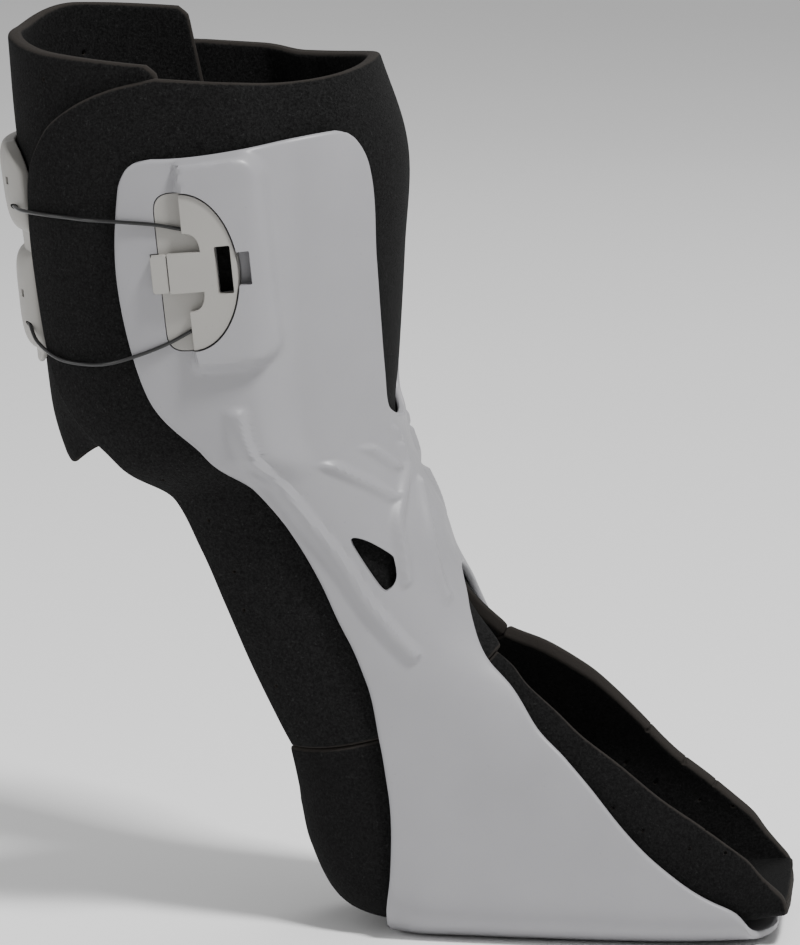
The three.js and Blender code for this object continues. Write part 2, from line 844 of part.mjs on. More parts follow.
function piece(name, geometry, material) {
  const mesh = new THREE.Mesh(geometry, material);
  mesh.name = name;
  brace.add(mesh);
}

piece("shell", geometryOf(shellBody()), shell_grey);
piece("liner_upper", sheet({
  back: upper_back_edge,
  front: upper_front_edge,
  inner: overPad,
  outer: linerOut,
  slant: upperSlant,
}), foam_black);
piece("liner_foot", sheet({
  back: foot_back_edge,
  front: foot_near_edge,
  far_front: foot_far_edge,
  inner: (place) => -toeLift(place),
  outer: (place) => liner_wall - toeLift(place),
  slant: footSlant,
}), foot_black);
piece("back_pad", sheet({
  back: pad_back_edge,
  front: pad_front_edge,
  inner: padIn,
  outer: padOut,
  slant: padSlant,
}), foam_black);
piece("back_plate", geometryOf(plateBody()), clasp_grey);
piece("wire_upper", wireGeometry(upper_wire_rows), wire_black);
piece("wire_lower", wireGeometry(lower_wire_rows), wire_black);
for (const [name, side] of [["near", 1], ["far", -1]]) {
  piece(`catch_plate_${name}`, geometryOf(catchBody(side)), clasp_grey);
  piece(`clasp_${name}`, geometryOf(claspBody(side)), clasp_grey);
}

export default brace;
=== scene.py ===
# %% [markdown]
# # A foot drop brace
# This brace holds the foot up for somebody whose ankle lets it fall. A grey moulded shell grips
# the calf with two wings, crosses the front of the ankle as a ribbed bridge and runs down both
# sides to a flat sole. Black foam lines it, a pad closes the calf from behind, and thin wires
# pull the pad and the wings together at a half-moon clasp on each wing.
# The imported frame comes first: it gives the true size and place of every piece.

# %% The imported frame
import math

import bmesh
import bpy
import numpy as np
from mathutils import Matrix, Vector
from mathutils.kdtree import KDTree


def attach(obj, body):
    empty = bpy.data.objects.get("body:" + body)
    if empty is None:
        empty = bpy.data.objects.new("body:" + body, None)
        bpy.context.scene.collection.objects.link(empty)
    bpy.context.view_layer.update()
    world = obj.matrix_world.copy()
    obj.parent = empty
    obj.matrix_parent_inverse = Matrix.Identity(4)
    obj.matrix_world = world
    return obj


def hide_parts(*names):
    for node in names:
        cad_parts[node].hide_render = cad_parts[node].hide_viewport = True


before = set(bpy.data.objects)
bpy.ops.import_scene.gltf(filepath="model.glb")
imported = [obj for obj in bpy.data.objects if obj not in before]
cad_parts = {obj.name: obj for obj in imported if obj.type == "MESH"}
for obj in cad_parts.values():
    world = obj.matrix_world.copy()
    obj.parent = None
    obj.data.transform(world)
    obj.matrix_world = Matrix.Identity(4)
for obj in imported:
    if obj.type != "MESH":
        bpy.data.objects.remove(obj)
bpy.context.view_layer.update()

# %% [markdown]
# ## The leg that is not there
# Every layer of the brace follows the calf, the ankle and the foot, so the leg's own skin is the
# best ruler. It could be sculpted, but then no layer would fit the next. Here it is a table of
# oval sections, from the top of the calf to the toe. Each runs from a point at the back or the
# sole to a point at the front or the instep. A place on the skin is then a section number and an
# angle, 0 at the front and 180 at the back, and a layer is a height above that place.

# %% Sections of the leg and foot
MM = 0.001
leg_height = 298
calf_reach = 138
toe_reach = 126
calf_width = 104
foot_width = 74

# back, back_up, front, front_up, calf, foot, round, sole
section_table = [
    (-1.0, 1.0, -0.16, 0.97, 0.96, 0, 2.2, 2.2),
    (-0.98, 0.886, -0.09, 0.866, 1.0, 0, 2.2, 2.2),
    (-0.94, 0.752, -0.098, 0.752, 1.0, 0, 2.2, 2.2),
    (-0.9, 0.611, -0.112, 0.631, 0.925, 0, 2.2, 2.2),
    (-0.82, 0.544, -0.123, 0.57, 0.856, 0, 2.3, 2.3),
    (-0.675, 0.483, -0.109, 0.527, 0.77, 0, 2.4, 2.4),
    (-0.585, 0.416, -0.072, 0.48, 0.71, 0, 2.5, 2.5),
    (-0.515, 0.346, -0.022, 0.436, 0.675, 0, 2.6, 2.6),
    (-0.445, 0.275, 0.016, 0.389, 0.655, 0, 2.6, 2.6),
    (-0.375, 0.208, 0.095, 0.336, 0.45, 0.25, 2.6, 2.6),
    (-0.293, 0.134, 0.19, 0.302, 0.2, 0.58, 2.6, 2.7),
    (-0.257, 0.07, 0.3, 0.282, 0, 0.865, 2.5, 3),
    (-0.18, 0.015, 0.42, 0.258, 0, 0.88, 2.6, 4.5),
    (-0.035, 0, 0.53, 0.238, 0, 0.905, 2.8, 7),
    (0.11, 0, 0.635, 0.208, 0, 0.945, 3, 8),
    (0.3, 0, 0.73, 0.174, 0, 0.985, 3, 8),
    (0.51, 0, 0.825, 0.141, 0, 1.0, 3, 8),
    (0.73, 0.002, 0.92, 0.1, 0, 1.0, 3, 8),
    (0.95, 0.007, 1.03, 0.06, 0, 0.97, 3, 6),
]


def reach_at(share):
    return share * (calf_reach if share < 0 else toe_reach)


section_rows = np.array([
    (reach_at(back), back_up * leg_height, reach_at(front), front_up * leg_height,
     (calf * calf_width + foot * foot_width) / 2, round_power, sole_power)
    for back, back_up, front, front_up, calf, foot, round_power, sole_power in section_table
])
print("sections", len(section_rows))

# %% [markdown]
# Four small functions turn the table into a skin: one section between the rows, a point on it,
# the same point lifted along the normal, and the smooth edge of a sheet.

# %% One section of the skin


def section_at(place):
    """One smooth section between the rows of the table, by a Catmull-Rom curve."""
    last = len(section_rows) - 1
    start = np.clip(np.floor(place).astype(int), 0, last - 1)
    t = (place - start)[..., None]
    before = section_rows[np.maximum(start - 1, 0)]
    here = section_rows[start]
    following = section_rows[start + 1]
    after = section_rows[np.minimum(start + 2, last)]
    rise = following - here
    leave = np.where((start > 0)[..., None], (following - before) / 2, rise)
    arrive = np.where((start + 1 < last)[..., None], (after - here) / 2, rise)
    bend = 3 * rise - 2 * leave - arrive
    twist = leave + arrive - 2 * rise
    return here + t * (leave + t * (bend + t * twist))


# %% A point on the skin


def bare_skin(place, angle):
    """Points on the near side of the leg, in millimetres."""
    row = section_at(place)
    turn = np.radians(angle)
    along, across = np.cos(turn), np.sin(turn)
    power = np.where(along > 0, row[..., 5], row[..., 6])
    size = (np.abs(along) ** power + np.abs(across) ** power) ** (-1 / power)
    share = (1 + along * size) / 2
    return np.stack([
        row[..., 0] + share * (row[..., 2] - row[..., 0]),
        -row[..., 4] * across * size,
        row[..., 1] + share * (row[..., 3] - row[..., 1]),
    ], axis=-1)


def skin(place, angle, lift):
    """A point that stands off the skin by lift, along the skin's own normal."""
    place, angle, lift = np.broadcast_arrays(
        np.asarray(place, float), np.asarray(angle, float), np.asarray(lift, float))
    step, turn = 0.02, 0.5
    down = bare_skin(place + step, angle) - bare_skin(place - step, angle)
    back = bare_skin(place, angle + turn) - bare_skin(place, angle - turn)
    normal = np.cross(back, down)
    normal /= np.linalg.norm(normal, axis=-1, keepdims=True)
    return bare_skin(place, angle) + normal * lift[..., None]


def smooth(low, high, value):
    t = np.clip((np.asarray(value, float) - low) / (high - low), 0, 1)
    return t * t * (3 - 2 * t)


# %% The edge of a sheet


def edge_at(edge, place):
    """The angle of an edge at a place, by a curve that never overshoots its table."""
    at, angle = np.array(edge, float).T
    width = np.diff(at)
    slope = np.diff(angle) / width
    product = slope[:-1] * slope[1:]
    total = slope[:-1] + slope[1:]
    inner = np.where(product > 0, 2 * product / np.where(product > 0, total, 1), 0)
    tangent = np.concatenate([slope[:1], inner, slope[-1:]])
    k = np.clip(np.searchsorted(at, place), 1, len(at) - 1)
    t = np.clip((place - at[k - 1]) / width[k - 1], 0, 1)
    rise = angle[k] - angle[k - 1]
    leave, arrive = tangent[k - 1] * width[k - 1], tangent[k] * width[k - 1]
    bend, twist = 3 * rise - 2 * leave - arrive, leave + arrive - 2 * rise
    return angle[k - 1] + t * (leave + t * (bend + t * twist))


print("calf girth at section 1:", round(float(np.sum(np.linalg.norm(np.diff(
    skin(1.0, np.linspace(0, 180, 60), 0), axis=0), axis=1)) * 2)), "mm")

# %% [markdown]
# ## Walls and gaps
# The layers are a few millimetres thick, with a small gap between them. The foot rests at height
# 0, so the floor lies below it by the walls under the heel. They are values with names, because
# many pieces use them.

# %% Walls and gaps
pad_wall = 5
liner_wall = 5
shell_wall = 3
plate_wall = 2.2
fit_gap = 0.6
small_gap = 0.3
sole_trim = 0.4
toe_spring = 4
tab_stand_off = 13
floor_height = -(liner_wall + fit_gap + shell_wall - sole_trim)
print("floor under the sole at", round(floor_height, 1), "mm")

# %% [markdown]
# ## Camera and light
# The photograph is a long, slightly high side view with the toe to the right, so the camera comes
# before any piece: everything after it can be checked against the picture. Wide lenses would
# swell the nearer wing. A long lens two and a half metres away keeps both wings alike, as in the
# photograph. The light is a pale studio. The ridges and ribs are only a few millimetres high, so
# a small box high up on the right grazes them. A weaker box from the left and one from behind
# draw the rims, and the pale world and floor fill the shadows.

# %% Camera
image_long_side = 945
sensor = 36
camera_azimuth, camera_elevation = 5, 10
camera_distance = 2400
mm_per_pixel = 0.3413
aim = Vector((-10, 0, 155 + floor_height)) * MM

camera_data = bpy.data.cameras.new("camera")
camera_data.lens = sensor * camera_distance / (mm_per_pixel * image_long_side)
camera_data.sensor_width = sensor
camera_data.clip_end = 20
camera = bpy.data.objects.new("camera", camera_data)
bpy.context.collection.objects.link(camera)
azimuth, elevation = math.radians(camera_azimuth), math.radians(camera_elevation)
toward_camera = Vector((
    math.sin(azimuth) * math.cos(elevation),
    -math.cos(azimuth) * math.cos(elevation),
    math.sin(elevation),
))
camera.location = aim + toward_camera * camera_distance * MM
camera.rotation_euler = (-toward_camera).to_track_quat("-Z", "Y").to_euler()
bpy.context.scene.camera = camera
print("lens", round(camera_data.lens), "mm at", camera_distance, "mm")

# %% Soft boxes and world


def soft_box(name, place, size, power):
    light = bpy.data.lights.new(name, "AREA")
    light.shape = "SQUARE"
    light.size = size
    light.energy = power
    box = bpy.data.objects.new(name, light)
    bpy.context.collection.objects.link(box)
    box.location = place
    box.rotation_euler = (aim - Vector(place)).to_track_quat("-Z", "Y").to_euler()


soft_box("soft_box_high", place=(0.75, -0.75, 1.9), size=0.35, power=52)
soft_box("soft_box_left", place=(-1.7, -0.5, 0.7), size=0.8, power=7)
soft_box("soft_box_back", place=(0.5, 1.5, 1.4), size=1.0, power=8)

world_strength = 0.42
world = bpy.data.worlds.new("studio")
world.use_nodes = True
background = world.node_tree.nodes["Background"]
background.inputs["Color"].default_value = (1, 1, 1, 1)
background.inputs["Strength"].default_value = world_strength
bpy.context.scene.world = world
print("world strength", world_strength)

# %% [markdown]
# ## Floor
# Every mesh of this script is worked out as points and faces, so one helper turns them into an
# object. Its first use is the studio floor, wide enough to have no visible end.

# %% Meshes out of points


def bare_object(name, points, faces):
    mesh = bpy.data.meshes.new(name)
    mesh.from_pydata((np.asarray(points) * MM).tolist(), [], faces)
    mesh.update()
    piece = bpy.data.objects.new(name, mesh)
    bpy.context.collection.objects.link(piece)
    return piece


floor_half = 6000
floor_gap = 0.1
floor_corners = [(-1, -1), (1, -1), (1, 1), (-1, 1)]
studio_floor = bare_object("studio_floor", [
    (x * floor_half, y * floor_half, floor_height - floor_gap) for x, y in floor_corners
], [(0, 1, 2, 3)])
print("floor half width", floor_half, "mm")

# %% [markdown]
# ## Sheets
# Shell, liners, pad and back plate are all sheets of one thickness that follow the leg. A flat
# mesh with a Solidify modifier would give square rims. The real rims are rounded, and the light
# that they catch draws the outline of the brace, so each sheet is built with its rim: near its
# edge both faces fall towards the middle in a quarter circle. The distance from every point to
# the nearest free edge is kept on the mesh, and the finishes use it later.

# %% Rows and columns of a sheet
# Shares of the rim's width at which rows and columns lie, close together near the edge
rim_steps = np.array([0, 0.04, 0.14, 0.32, 0.6, 1.0])
mm_per_section = 34
mm_per_degree = 0.75
fine_step = 0.002
clear_of_rim = 1.3
slowest_turn = 0.25
deepest_fall = 0.96
same_point = 0.001
steps_per_edge = 4


def travel_rows(edges, cell, ends):
    """Places of the rows, close together where an edge runs along them."""
    low, high = edges[0][0][0], edges[0][-1][0]
    fine = np.arange(low, high, fine_step)
    travel = np.zeros(len(fine))
    for edge in edges:
        turn = np.gradient(edge_at(edge, fine), fine)
        travel = np.maximum(travel, np.hypot(mm_per_section, turn * mm_per_degree))
    size = cell(fine) if callable(cell) else cell
    count = np.cumsum(travel / size * fine_step)
    rows = np.interp(np.arange(0.5, count[-1], 1), count, fine)
    rim_rows = rim_steps * ends / mm_per_section
    margin = rim_rows[-1] * clear_of_rim
    rows = rows[(rows > low + margin) & (rows < high - margin)]
    return np.concatenate([low + rim_rows, rows, (high - rim_rows)[::-1]])


def column_angles(places, start, end, across, rim):
    """Angles of one sheet: rows by columns, with close columns along both edges."""
    def speed(edge):
        return np.linalg.norm(skin(places, edge + 0.5, 0) - skin(places, edge - 0.5, 0), axis=-1)
    lead_in = rim_steps[None, :] * rim / np.maximum(speed(start), slowest_turn)[:, None]
    lead_out = rim_steps[None, :] * rim / np.maximum(speed(end), slowest_turn)[:, None]
    room = (start - end)[:, None] / 3
    lead_in = lead_in * np.minimum(1, room / lead_in[:, -1:])
    lead_out = lead_out * np.minimum(1, room / lead_out[:, -1:])
    first = start - lead_in[:, -1]
    last = end + lead_out[:, -1]
    share = np.linspace(0, 1, across)[1:-1]
    middle = first[:, None] + (last - first)[:, None] * share[None, :]
    return np.concatenate(
        [start[:, None] - lead_in, middle, end[:, None] + lead_out[:, ::-1]], axis=1)


def no_slant(place, angle, side):
    return np.zeros_like(angle)


def free_edges(faces):
    """Edges that only one face uses, in the order of the faces."""
    used = {}
    for face in faces:
        for a, b in zip(face, face[1:] + face[:1]):
            used[(a, b)] = True
    return [edge for edge in used if (edge[1], edge[0]) not in used]


# %% [markdown]
# A sheet is first worked out at the middle of its wall, as a grid of rows and columns on each
# side of the leg. Points of both grids that fall together, at the front, the back or the sole,
# become one point, so that the finished mesh has no seam.

# %% Grids of one sheet


def sheet_grids(back, front, far_front, slant, rim, cell, across):
    """Side, sections and angles of both grids, the near side first."""
    rows = travel_rows([back, front, far_front], cell, rim)
    grids = []
    for side, front_here in ((1, front), (-1, far_front)):
        angle = column_angles(rows, edge_at(back, rows), edge_at(front_here, rows), across, rim)
        angle = np.clip(angle, 0, 180)
        place = np.broadcast_to(rows[:, None], angle.shape)
        grids.append((side, place + slant(place, angle, side), angle))
    return grids


def on_side(points, angle, side):
    """Moves points to their side of the leg, and those in the middle exactly onto it."""
    points[(angle <= 0) | (angle >= 180), 1] = 0
    points[..., 1] *= side
    return points


def grid_quads(ids, side):
    a, b, c, d = ids[:-1, :-1], ids[1:, :-1], ids[1:, 1:], ids[:-1, 1:]
    order = [a, b, c, d] if side > 0 else [a, d, c, b]
    return np.stack(order, axis=-1).reshape(-1, 4).tolist()


def joined(grids, points):
    """The number of each point that is kept, and the faces between those points."""
    numbers = {}
    ids = np.array([numbers.setdefault(tuple(point), len(numbers))
                    for point in np.round(points / same_point).astype(int).tolist()])
    kept = np.full(len(numbers), -1)
    kept[ids[::-1]] = np.arange(len(ids))[::-1]
    shape = grids[0][1].shape
    faces = []
    for (side, _, _), grid_ids in zip(grids, np.split(ids, len(grids))):
        for quad in grid_quads(grid_ids.reshape(shape), side):
            corners = list(dict.fromkeys(quad))
            if len(corners) > 2:
                faces.append(corners)
    return kept, faces


# %% [markdown]
# The rim needs the distance from each point to the nearest free edge. A search tree over short
# steps along those edges answers this quickly for many thousand points.

# %% Distance to the free edge


def distance_to_edge(points, border):
    tree = KDTree(len(border) * steps_per_edge)
    for number, (a, b) in enumerate(border):
        for k in range(steps_per_edge):
            point = points[a] + (points[b] - points[a]) * k / steps_per_edge
            tree.insert(point, number * steps_per_edge + k)
    tree.balance()
    distance = np.array([tree.find(point)[2] for point in points])
    distance[np.array(border).ravel()] = 0
    return distance


def rim_fall(distance, rim, half):
    """How far a face falls towards the middle of the wall, in a quarter circle."""
    share = 1 - np.clip(distance / rim, 0, 1)
    return np.minimum(rim * (1 - np.sqrt(np.clip(1 - share ** 2, 0, 1))), half * deepest_fall)


# %% The sheet itself


def closed_sheet(name, top, bottom, faces, border):
    """Two alike layers of points, joined by walls along their border."""
    count = len(top)
    inside = [[corner + count for corner in face[::-1]] for face in faces]
    walls = [[b, a, a + count, b + count] for a, b in border]
    return bare_object(name, np.concatenate([top, bottom]), faces + inside + walls)


def sheet(name, back, front, inner, outer, rim, cell, across,
          far_front=None, slant=no_slant, relief=None):
    """A closed sheet between two heights over the skin, on both sides of the leg."""
    grids = sheet_grids(back, front, far_front or front, slant, rim, cell, across)
    middle = np.concatenate([
        on_side(skin(place, angle, (inner(place, angle) + outer(place, angle)) / 2),
                angle, side).reshape(-1, 3)
        for side, place, angle in grids
    ])
    kept, faces = joined(grids, middle)
    border = free_edges(faces)
    distance = distance_to_edge(middle[kept], border)
    side = np.concatenate([np.full(grid[1].size, grid[0]) for grid in grids])[kept]
    place = np.concatenate([grid[1].ravel() for grid in grids])[kept]
    angle = np.concatenate([grid[2].ravel() for grid in grids])[kept]
    low, high = inner(place, angle), outer(place, angle)
    fall = rim_fall(distance, rim, (high - low) / 2)
    top, bottom = high - fall, low + fall
    if relief:
        swell = relief(place, angle, skin(place, angle, high))
        top = top + swell * smooth(0, 1.5 * rim, distance)
    layers = [on_side(skin(place, angle, lift), angle, side) for lift in (top, bottom)]
    piece = closed_sheet(name, *layers, faces, border)
    kinds = [0] * len(faces) + [1] * len(faces) + [2] * len(border)
    piece.data.polygons.foreach_set("material_index", kinds)
    piece.data.polygons.foreach_set("use_smooth", [True] * len(kinds))
    edge = piece.data.attributes.new("edge_mm", "FLOAT", "POINT")
    edge.data.foreach_set("value", np.concatenate([distance, distance]).astype(np.float32))
    print(name, "rows", len(grids[0][1]), "faces", len(kinds))
    return piece


# %% [markdown]
# ## Layers, from the skin outwards
# The calf pad lies on the skin at the back. The upper liner lies on the skin at the front and
# climbs over the pad at the back, and the shell follows the liner. Heights above the skin say all
# of this, and they are the same rules as in the solid model, so the layers never meet.

# %% Heights of the layers


def pad_in(place, angle):
    return tab_stand_off * smooth(2.6, 4.9, place) * smooth(148, 170, angle)


def pad_out(place, angle):
    return pad_in(place, angle) + pad_wall


def over_pad(place, angle):
    rise = pad_out(place, angle) + fit_gap
    return rise * smooth(60, 76, angle) * (1 - smooth(4.1, 5.1, place))


def liner_out(place, angle):
    return over_pad(place, angle) + liner_wall


def shell_in(place, angle):
    return liner_out(place, angle) + fit_gap


def shell_out(place, angle):
    return shell_in(place, angle) + shell_wall


def plate_in(place, angle):
    return pad_out(place, angle) + fit_gap


def toe_lift(place):
    return toe_spring * smooth(16.8, 18.2, place)


print("wing stands", round(float(shell_out(np.array(2.0), np.array(90.0))), 1), "mm off the skin")

# %% [markdown]
# ## The moulded shell
# The shell is one injection moulding in light grey plastic. Its wings carry a raised housing for
# the clasp, a long S-shaped ridge runs from each wing to the ankle, and small ribs stiffen the
# bridge. Modelling the ribs as tubes would leave hard creases where they meet the wall. On the
# real moulding they swell out of it, so they are a relief: a height that is added to the wall's
# outer face, with a soft foot.

# %% Edges of the shell
# Columns: section, angle
shell_back_edge = [
    (1.0, 101), (1.03, 105), (1.12, 108.5), (1.3, 111), (2, 113.5), (3, 108), (3.95, 97.5),
    (5, 92), (6, 86.5), (6.75, 85.2), (8.25, 84), (9, 87), (10, 99), (11, 107), (12, 121),
    (12.6, 136), (12.8, 149), (12.95, 165), (13.05, 180), (18.03, 180),
]
shell_front_edge = [
    (1.0, 47), (1.04, 43), (1.12, 40), (1.3, 37), (2, 33), (3, 26.5), (3.7, 22.5), (3.95, 17),
    (4.1, 9), (4.15, 0), (8.25, 0), (8.3, 7), (8.45, 14), (8.7, 21), (9, 28), (10, 41),
    (11, 46), (12, 54), (13, 61), (14, 68), (15, 78), (16, 93), (17, 112), (17.4, 120),
    (17.7, 131), (17.9, 142), (18.0, 152), (18.03, 162),
]


def wing_slant(place, angle, side):
    """The wing's top edge climbs towards the front."""
    return -0.3 * smooth(40, 105, 145 - angle) * (1 - smooth(1, 2.4, place))


# %% [markdown]
# Everything at the clasp is measured from the clasp's middle, forward and up along the wing. A
# photograph from the side shows these two measures directly. The clasp leans a few degrees, as
# the wing does.

# %% Clasp coordinates on the wing
clasp_reach = reach_at(-0.5435)
clasp_up = 0.7545 * leg_height
clasp_tilt = math.radians(5.5)


def on_wing(points):
    """Forward and up from the clasp's middle, in millimetres, for points on the wing."""
    x, z = points[..., 0] - clasp_reach, points[..., 2] - clasp_up
    forward = x * math.cos(clasp_tilt) + z * math.sin(clasp_tilt)
    upward = z * math.cos(clasp_tilt) - x * math.sin(clasp_tilt)
    return forward, upward


# The housing's size, then the depths at which its soft foot and its steep back face rise
housing_depth = 29
housing_top = 38.5
housing_bottom = 34
housing_corner = 10
housing_rise = 4.5
housing_foot = (-1.2, 3.6)
housing_face = (-0.9, 0.5)


def housing_height(forward, upward):
    """A raised pillow with a soft foot in front, above and below, and a steep back face."""
    middle = (housing_top - housing_bottom) / 2
    half = (housing_top + housing_bottom) / 2
    over_x = forward - (housing_depth - housing_corner)
    over_z = np.abs(upward - middle) - (half - housing_corner)
    outside = np.hypot(np.maximum(over_x, 0), np.maximum(over_z, 0))
    inside = np.minimum(np.maximum(over_x, over_z), 0)
    depth = housing_corner - outside - inside
    return housing_rise * smooth(*housing_foot, depth) * smooth(*housing_face, forward)


# %% [markdown]
# The ridge and the ribs follow lines over the skin. Each line is a short table that gives its
# angle at a few sections. The ridge is steep towards the front and runs out slowly towards the
# back, and a rib falls off alike on both sides.

# %% Ridge and ribs
below_housing = 4.2
ridge_rise = 2.7
ridge_steep_side = (-2.7, 0.3)
ridge_slow_side = (0.6, 6.5)

# Columns: section, angle
ridge_line = [
    (3.2, 80), (3.7, 80.2), (4.45, 79.5), (5.05, 78.5), (6.3, 73), (7.65, 68), (8.45, 64),
    (9.15, 61),
]
# Columns: section and angle along the rib, then its rise and its half width
rib_lines = [
    ([(4.85, 20), (5.4, 21), (6, 33), (6.7, 45), (7.3, 48.5), (7.9, 51)], 2.0, 1.8),
    ([(5.9, 13), (6.6, 24), (7.2, 31), (7.8, 34), (8.6, 37)], 1.9, 1.8),
    ([(4.7, 60), (5.2, 52.5), (5.7, 44.5), (6.2, 37)], 1.8, 1.9),
    ([(4.58, 42), (5.08, 35.5), (5.55, 28)], 1.7, 1.9),
    ([(4.28, 22), (4.9, 18)], 1.5, 1.7),
]
line_end = (-2.5, 1.0)
lift_of_lines = 8
print("ribs on each side", len(rib_lines))

# %% Distance from a line


def across_line(line, place, angle):
    """Signed millimetres from a line, positive towards the back, and a fade at its ends."""
    low, high = line[0][0], line[-1][0]
    at = np.clip(place, low, high)
    bow = edge_at(line, at)
    turn = (edge_at(line, np.clip(at + 0.01, low, high))
            - edge_at(line, np.clip(at - 0.01, low, high))) / 0.02
    turn_mm = np.linalg.norm(skin(at, bow + 1, lift_of_lines)
                             - skin(at, bow - 1, lift_of_lines), axis=-1) / 2
    row_mm = np.linalg.norm(skin(at + 0.05, bow, lift_of_lines)
                            - skin(at - 0.05, bow, lift_of_lines), axis=-1) / 0.1
    lean = turn * turn_mm / np.maximum(row_mm, 1)
    distance = (angle - bow) * turn_mm / np.sqrt(1 + lean ** 2)
    beyond = np.maximum(low - place, place - high) * row_mm
    return distance, 1 - smooth(*line_end, beyond)


# %% Everything that stands out of the shell's wall


def shell_relief(place, angle, rest):
    forward, upward = on_wing(rest)
    height = housing_height(forward, upward)
    height = np.where(place < below_housing, height, 0)
    distance, fade = across_line(ridge_line, place, angle)
    slow = 1 - smooth(*ridge_slow_side, distance)
    height = np.maximum(height, ridge_rise * smooth(*ridge_steep_side, distance) * slow * fade)
    for line, rise, half_width in rib_lines:
        distance, fade = across_line(line, place, angle)
        bump = rise * (1 - smooth(0, half_width * 2, np.abs(distance))) * fade
        height = np.maximum(height, bump)
    return height


# %% [markdown]
# The mesh needs its smallest cells where the ridge and the ribs lie, round the ankle. The plain
# side walls below them get by with larger ones.

# %% The shell's mesh
ribs_from, ribs_to = 3.9, 8.8
wing_cell, rib_cell, wall_cell = 1.35, 1.2, 3.2


def shell_cell(place):
    lower = np.where(place < ribs_to, rib_cell, wall_cell)
    return np.where(place < ribs_from, wing_cell, lower)


shell = sheet("shell_moulding", shell_back_edge, shell_front_edge, shell_in, shell_out,
              rim=1.3, cell=shell_cell, across=56, slant=wing_slant, relief=shell_relief)

# %% [markdown]
# ## Foam liners
# Two foam sheets line the shell: a tall one round the shin, open at the back, and a lower one
# that cups the foot, with a seam between them above the heel. The foam is covered with a fuzzy
# loop fabric outside and has a smooth skin inside. It is stiff and keeps its moulded form, so it
# needs no cloth simulation: the same sheet maker builds it, with a softer rim than the shell's.
# The foot liner's flap is higher on the far side, so it has two front edges.

# %% Liners
# Columns: section, angle
upper_back_edge = [
    (0.2, 97), (0.35, 111), (0.55, 123), (0.85, 135), (1.4, 146), (2, 149), (3, 144.5),
    (3.45, 139.4), (3.7, 136.5), (3.95, 134), (4.15, 132.5), (5, 132.5), (6, 135),
    (7.5, 137), (9.35, 139),
]
upper_front_edge = [(0.2, 0), (8.3, 0), (8.4, 6), (8.7, 13), (9.35, 27)]
foot_back_edge = [
    (9.35, 141), (9.7, 148), (10.1, 159), (10.4, 180), (12.6, 180), (12.8, 180), (12.95, 180),
    (13.05, 180), (18.2, 180),
]
foot_near_edge = [
    (9.35, 32), (10.4, 36), (11, 39), (12, 44), (13, 51), (14, 54), (15, 57), (16, 60),
    (17, 64), (17.5, 74), (17.9, 92), (18.12, 122), (18.2, 155),
]
foot_far_edge = [
    (9.35, 26), (10.4, 21), (11, 19), (12, 27), (13, 40), (14, 48), (15, 54), (16, 59),
    (17, 66), (17.5, 79), (17.9, 100), (18.12, 126), (18.2, 155),
]


seam_gap = 0.01
foam_rim = 1.6


def seam_slant(angle):
    """The seam above the heel drops towards the front."""
    return 0.8 * np.clip((139 - angle) / 52, 0, 1)


def upper_slant(place, angle, side):
    collar = -0.2 * (1 - smooth(0, 70, angle)) * (1 - smooth(0.2, 1.4, place))
    return collar + seam_slant(angle) * smooth(8, 9.35, place)


def foot_slant(place, angle, side):
    return (seam_slant(angle) + seam_gap) * (1 - smooth(9.35, 11.5, place))


def foot_inner(place, angle):
    return 0 * angle - toe_lift(place)


def foot_outer(place, angle):
    return 0 * angle + liner_wall - toe_lift(place)


upper_liner = sheet("upper_liner", upper_back_edge, upper_front_edge, over_pad, liner_out,
                    rim=foam_rim, cell=2.2, across=56, slant=upper_slant)
foot_liner = sheet("foot_liner", foot_back_edge, foot_near_edge, foot_inner, foot_outer,
                   rim=foam_rim, cell=2.2, across=46, far_front=foot_far_edge, slant=foot_slant)

# %% [markdown]
# ## Calf pad and back plate
# The pad is a wide strip of the same foam, bent round the back of the calf and tucked inside both
# flaps of the liner. Its lower end is a rounded tab. A grey plate carries it, with two domed
# hoods through which the wires run across the back.

# %% Pad and plate
# Columns: section, angle
pad_back_edge = [(0, 180), (4.12, 180)]
pad_front_edge = [
    (0, 100), (0.1, 97), (3.2, 96), (3.45, 99), (3.7, 106), (3.85, 117), (3.95, 129),
    (4.03, 143), (4.09, 157), (4.12, 166),
]
plate_back_edge = [(1.05, 180), (2.85, 180)]
plate_front_edge = [(1.05, 164), (1.12, 157), (1.3, 152), (2.6, 152), (2.78, 157), (2.85, 164)]
upper_wire_section = 1.57
lower_wire_section = 2.5
hood_above_wire = 0.16
hood_half_height = 0.38
hood_half_angle = 28
hood_rise = 4


def pad_slant(place, angle, side):
    """The pad's top is a little lower on the near side than on the far one."""
    turn = smooth(6, 45, 180 - angle) * (1 - smooth(0, 1.6, place))
    return turn * (0.08 if side > 0 else -0.18)


def hood_shape(place, angle, wire_section):
    """A squarish dome, 1 in its middle and 0 outside it."""
    u = (place - wire_section + hood_above_wire) / hood_half_height
    v = (180 - angle) / hood_half_angle
    return np.sqrt(np.maximum(0, 1 - u ** 4)) * np.sqrt(np.maximum(0, 1 - v ** 4))


def plate_out(place, angle):
    hood = np.maximum(hood_shape(place, angle, upper_wire_section),
                      hood_shape(place, angle, lower_wire_section))
    return plate_in(place, angle) + plate_wall + hood_rise * hood


calf_pad = sheet("calf_pad", pad_back_edge, pad_front_edge, pad_in, pad_out,
                 rim=1.8, cell=2.4, across=40, slant=pad_slant)
back_plate = sheet("back_plate_hooded", plate_back_edge, plate_front_edge, plate_in, plate_out,
                   rim=0.9, cell=0.8, across=36)

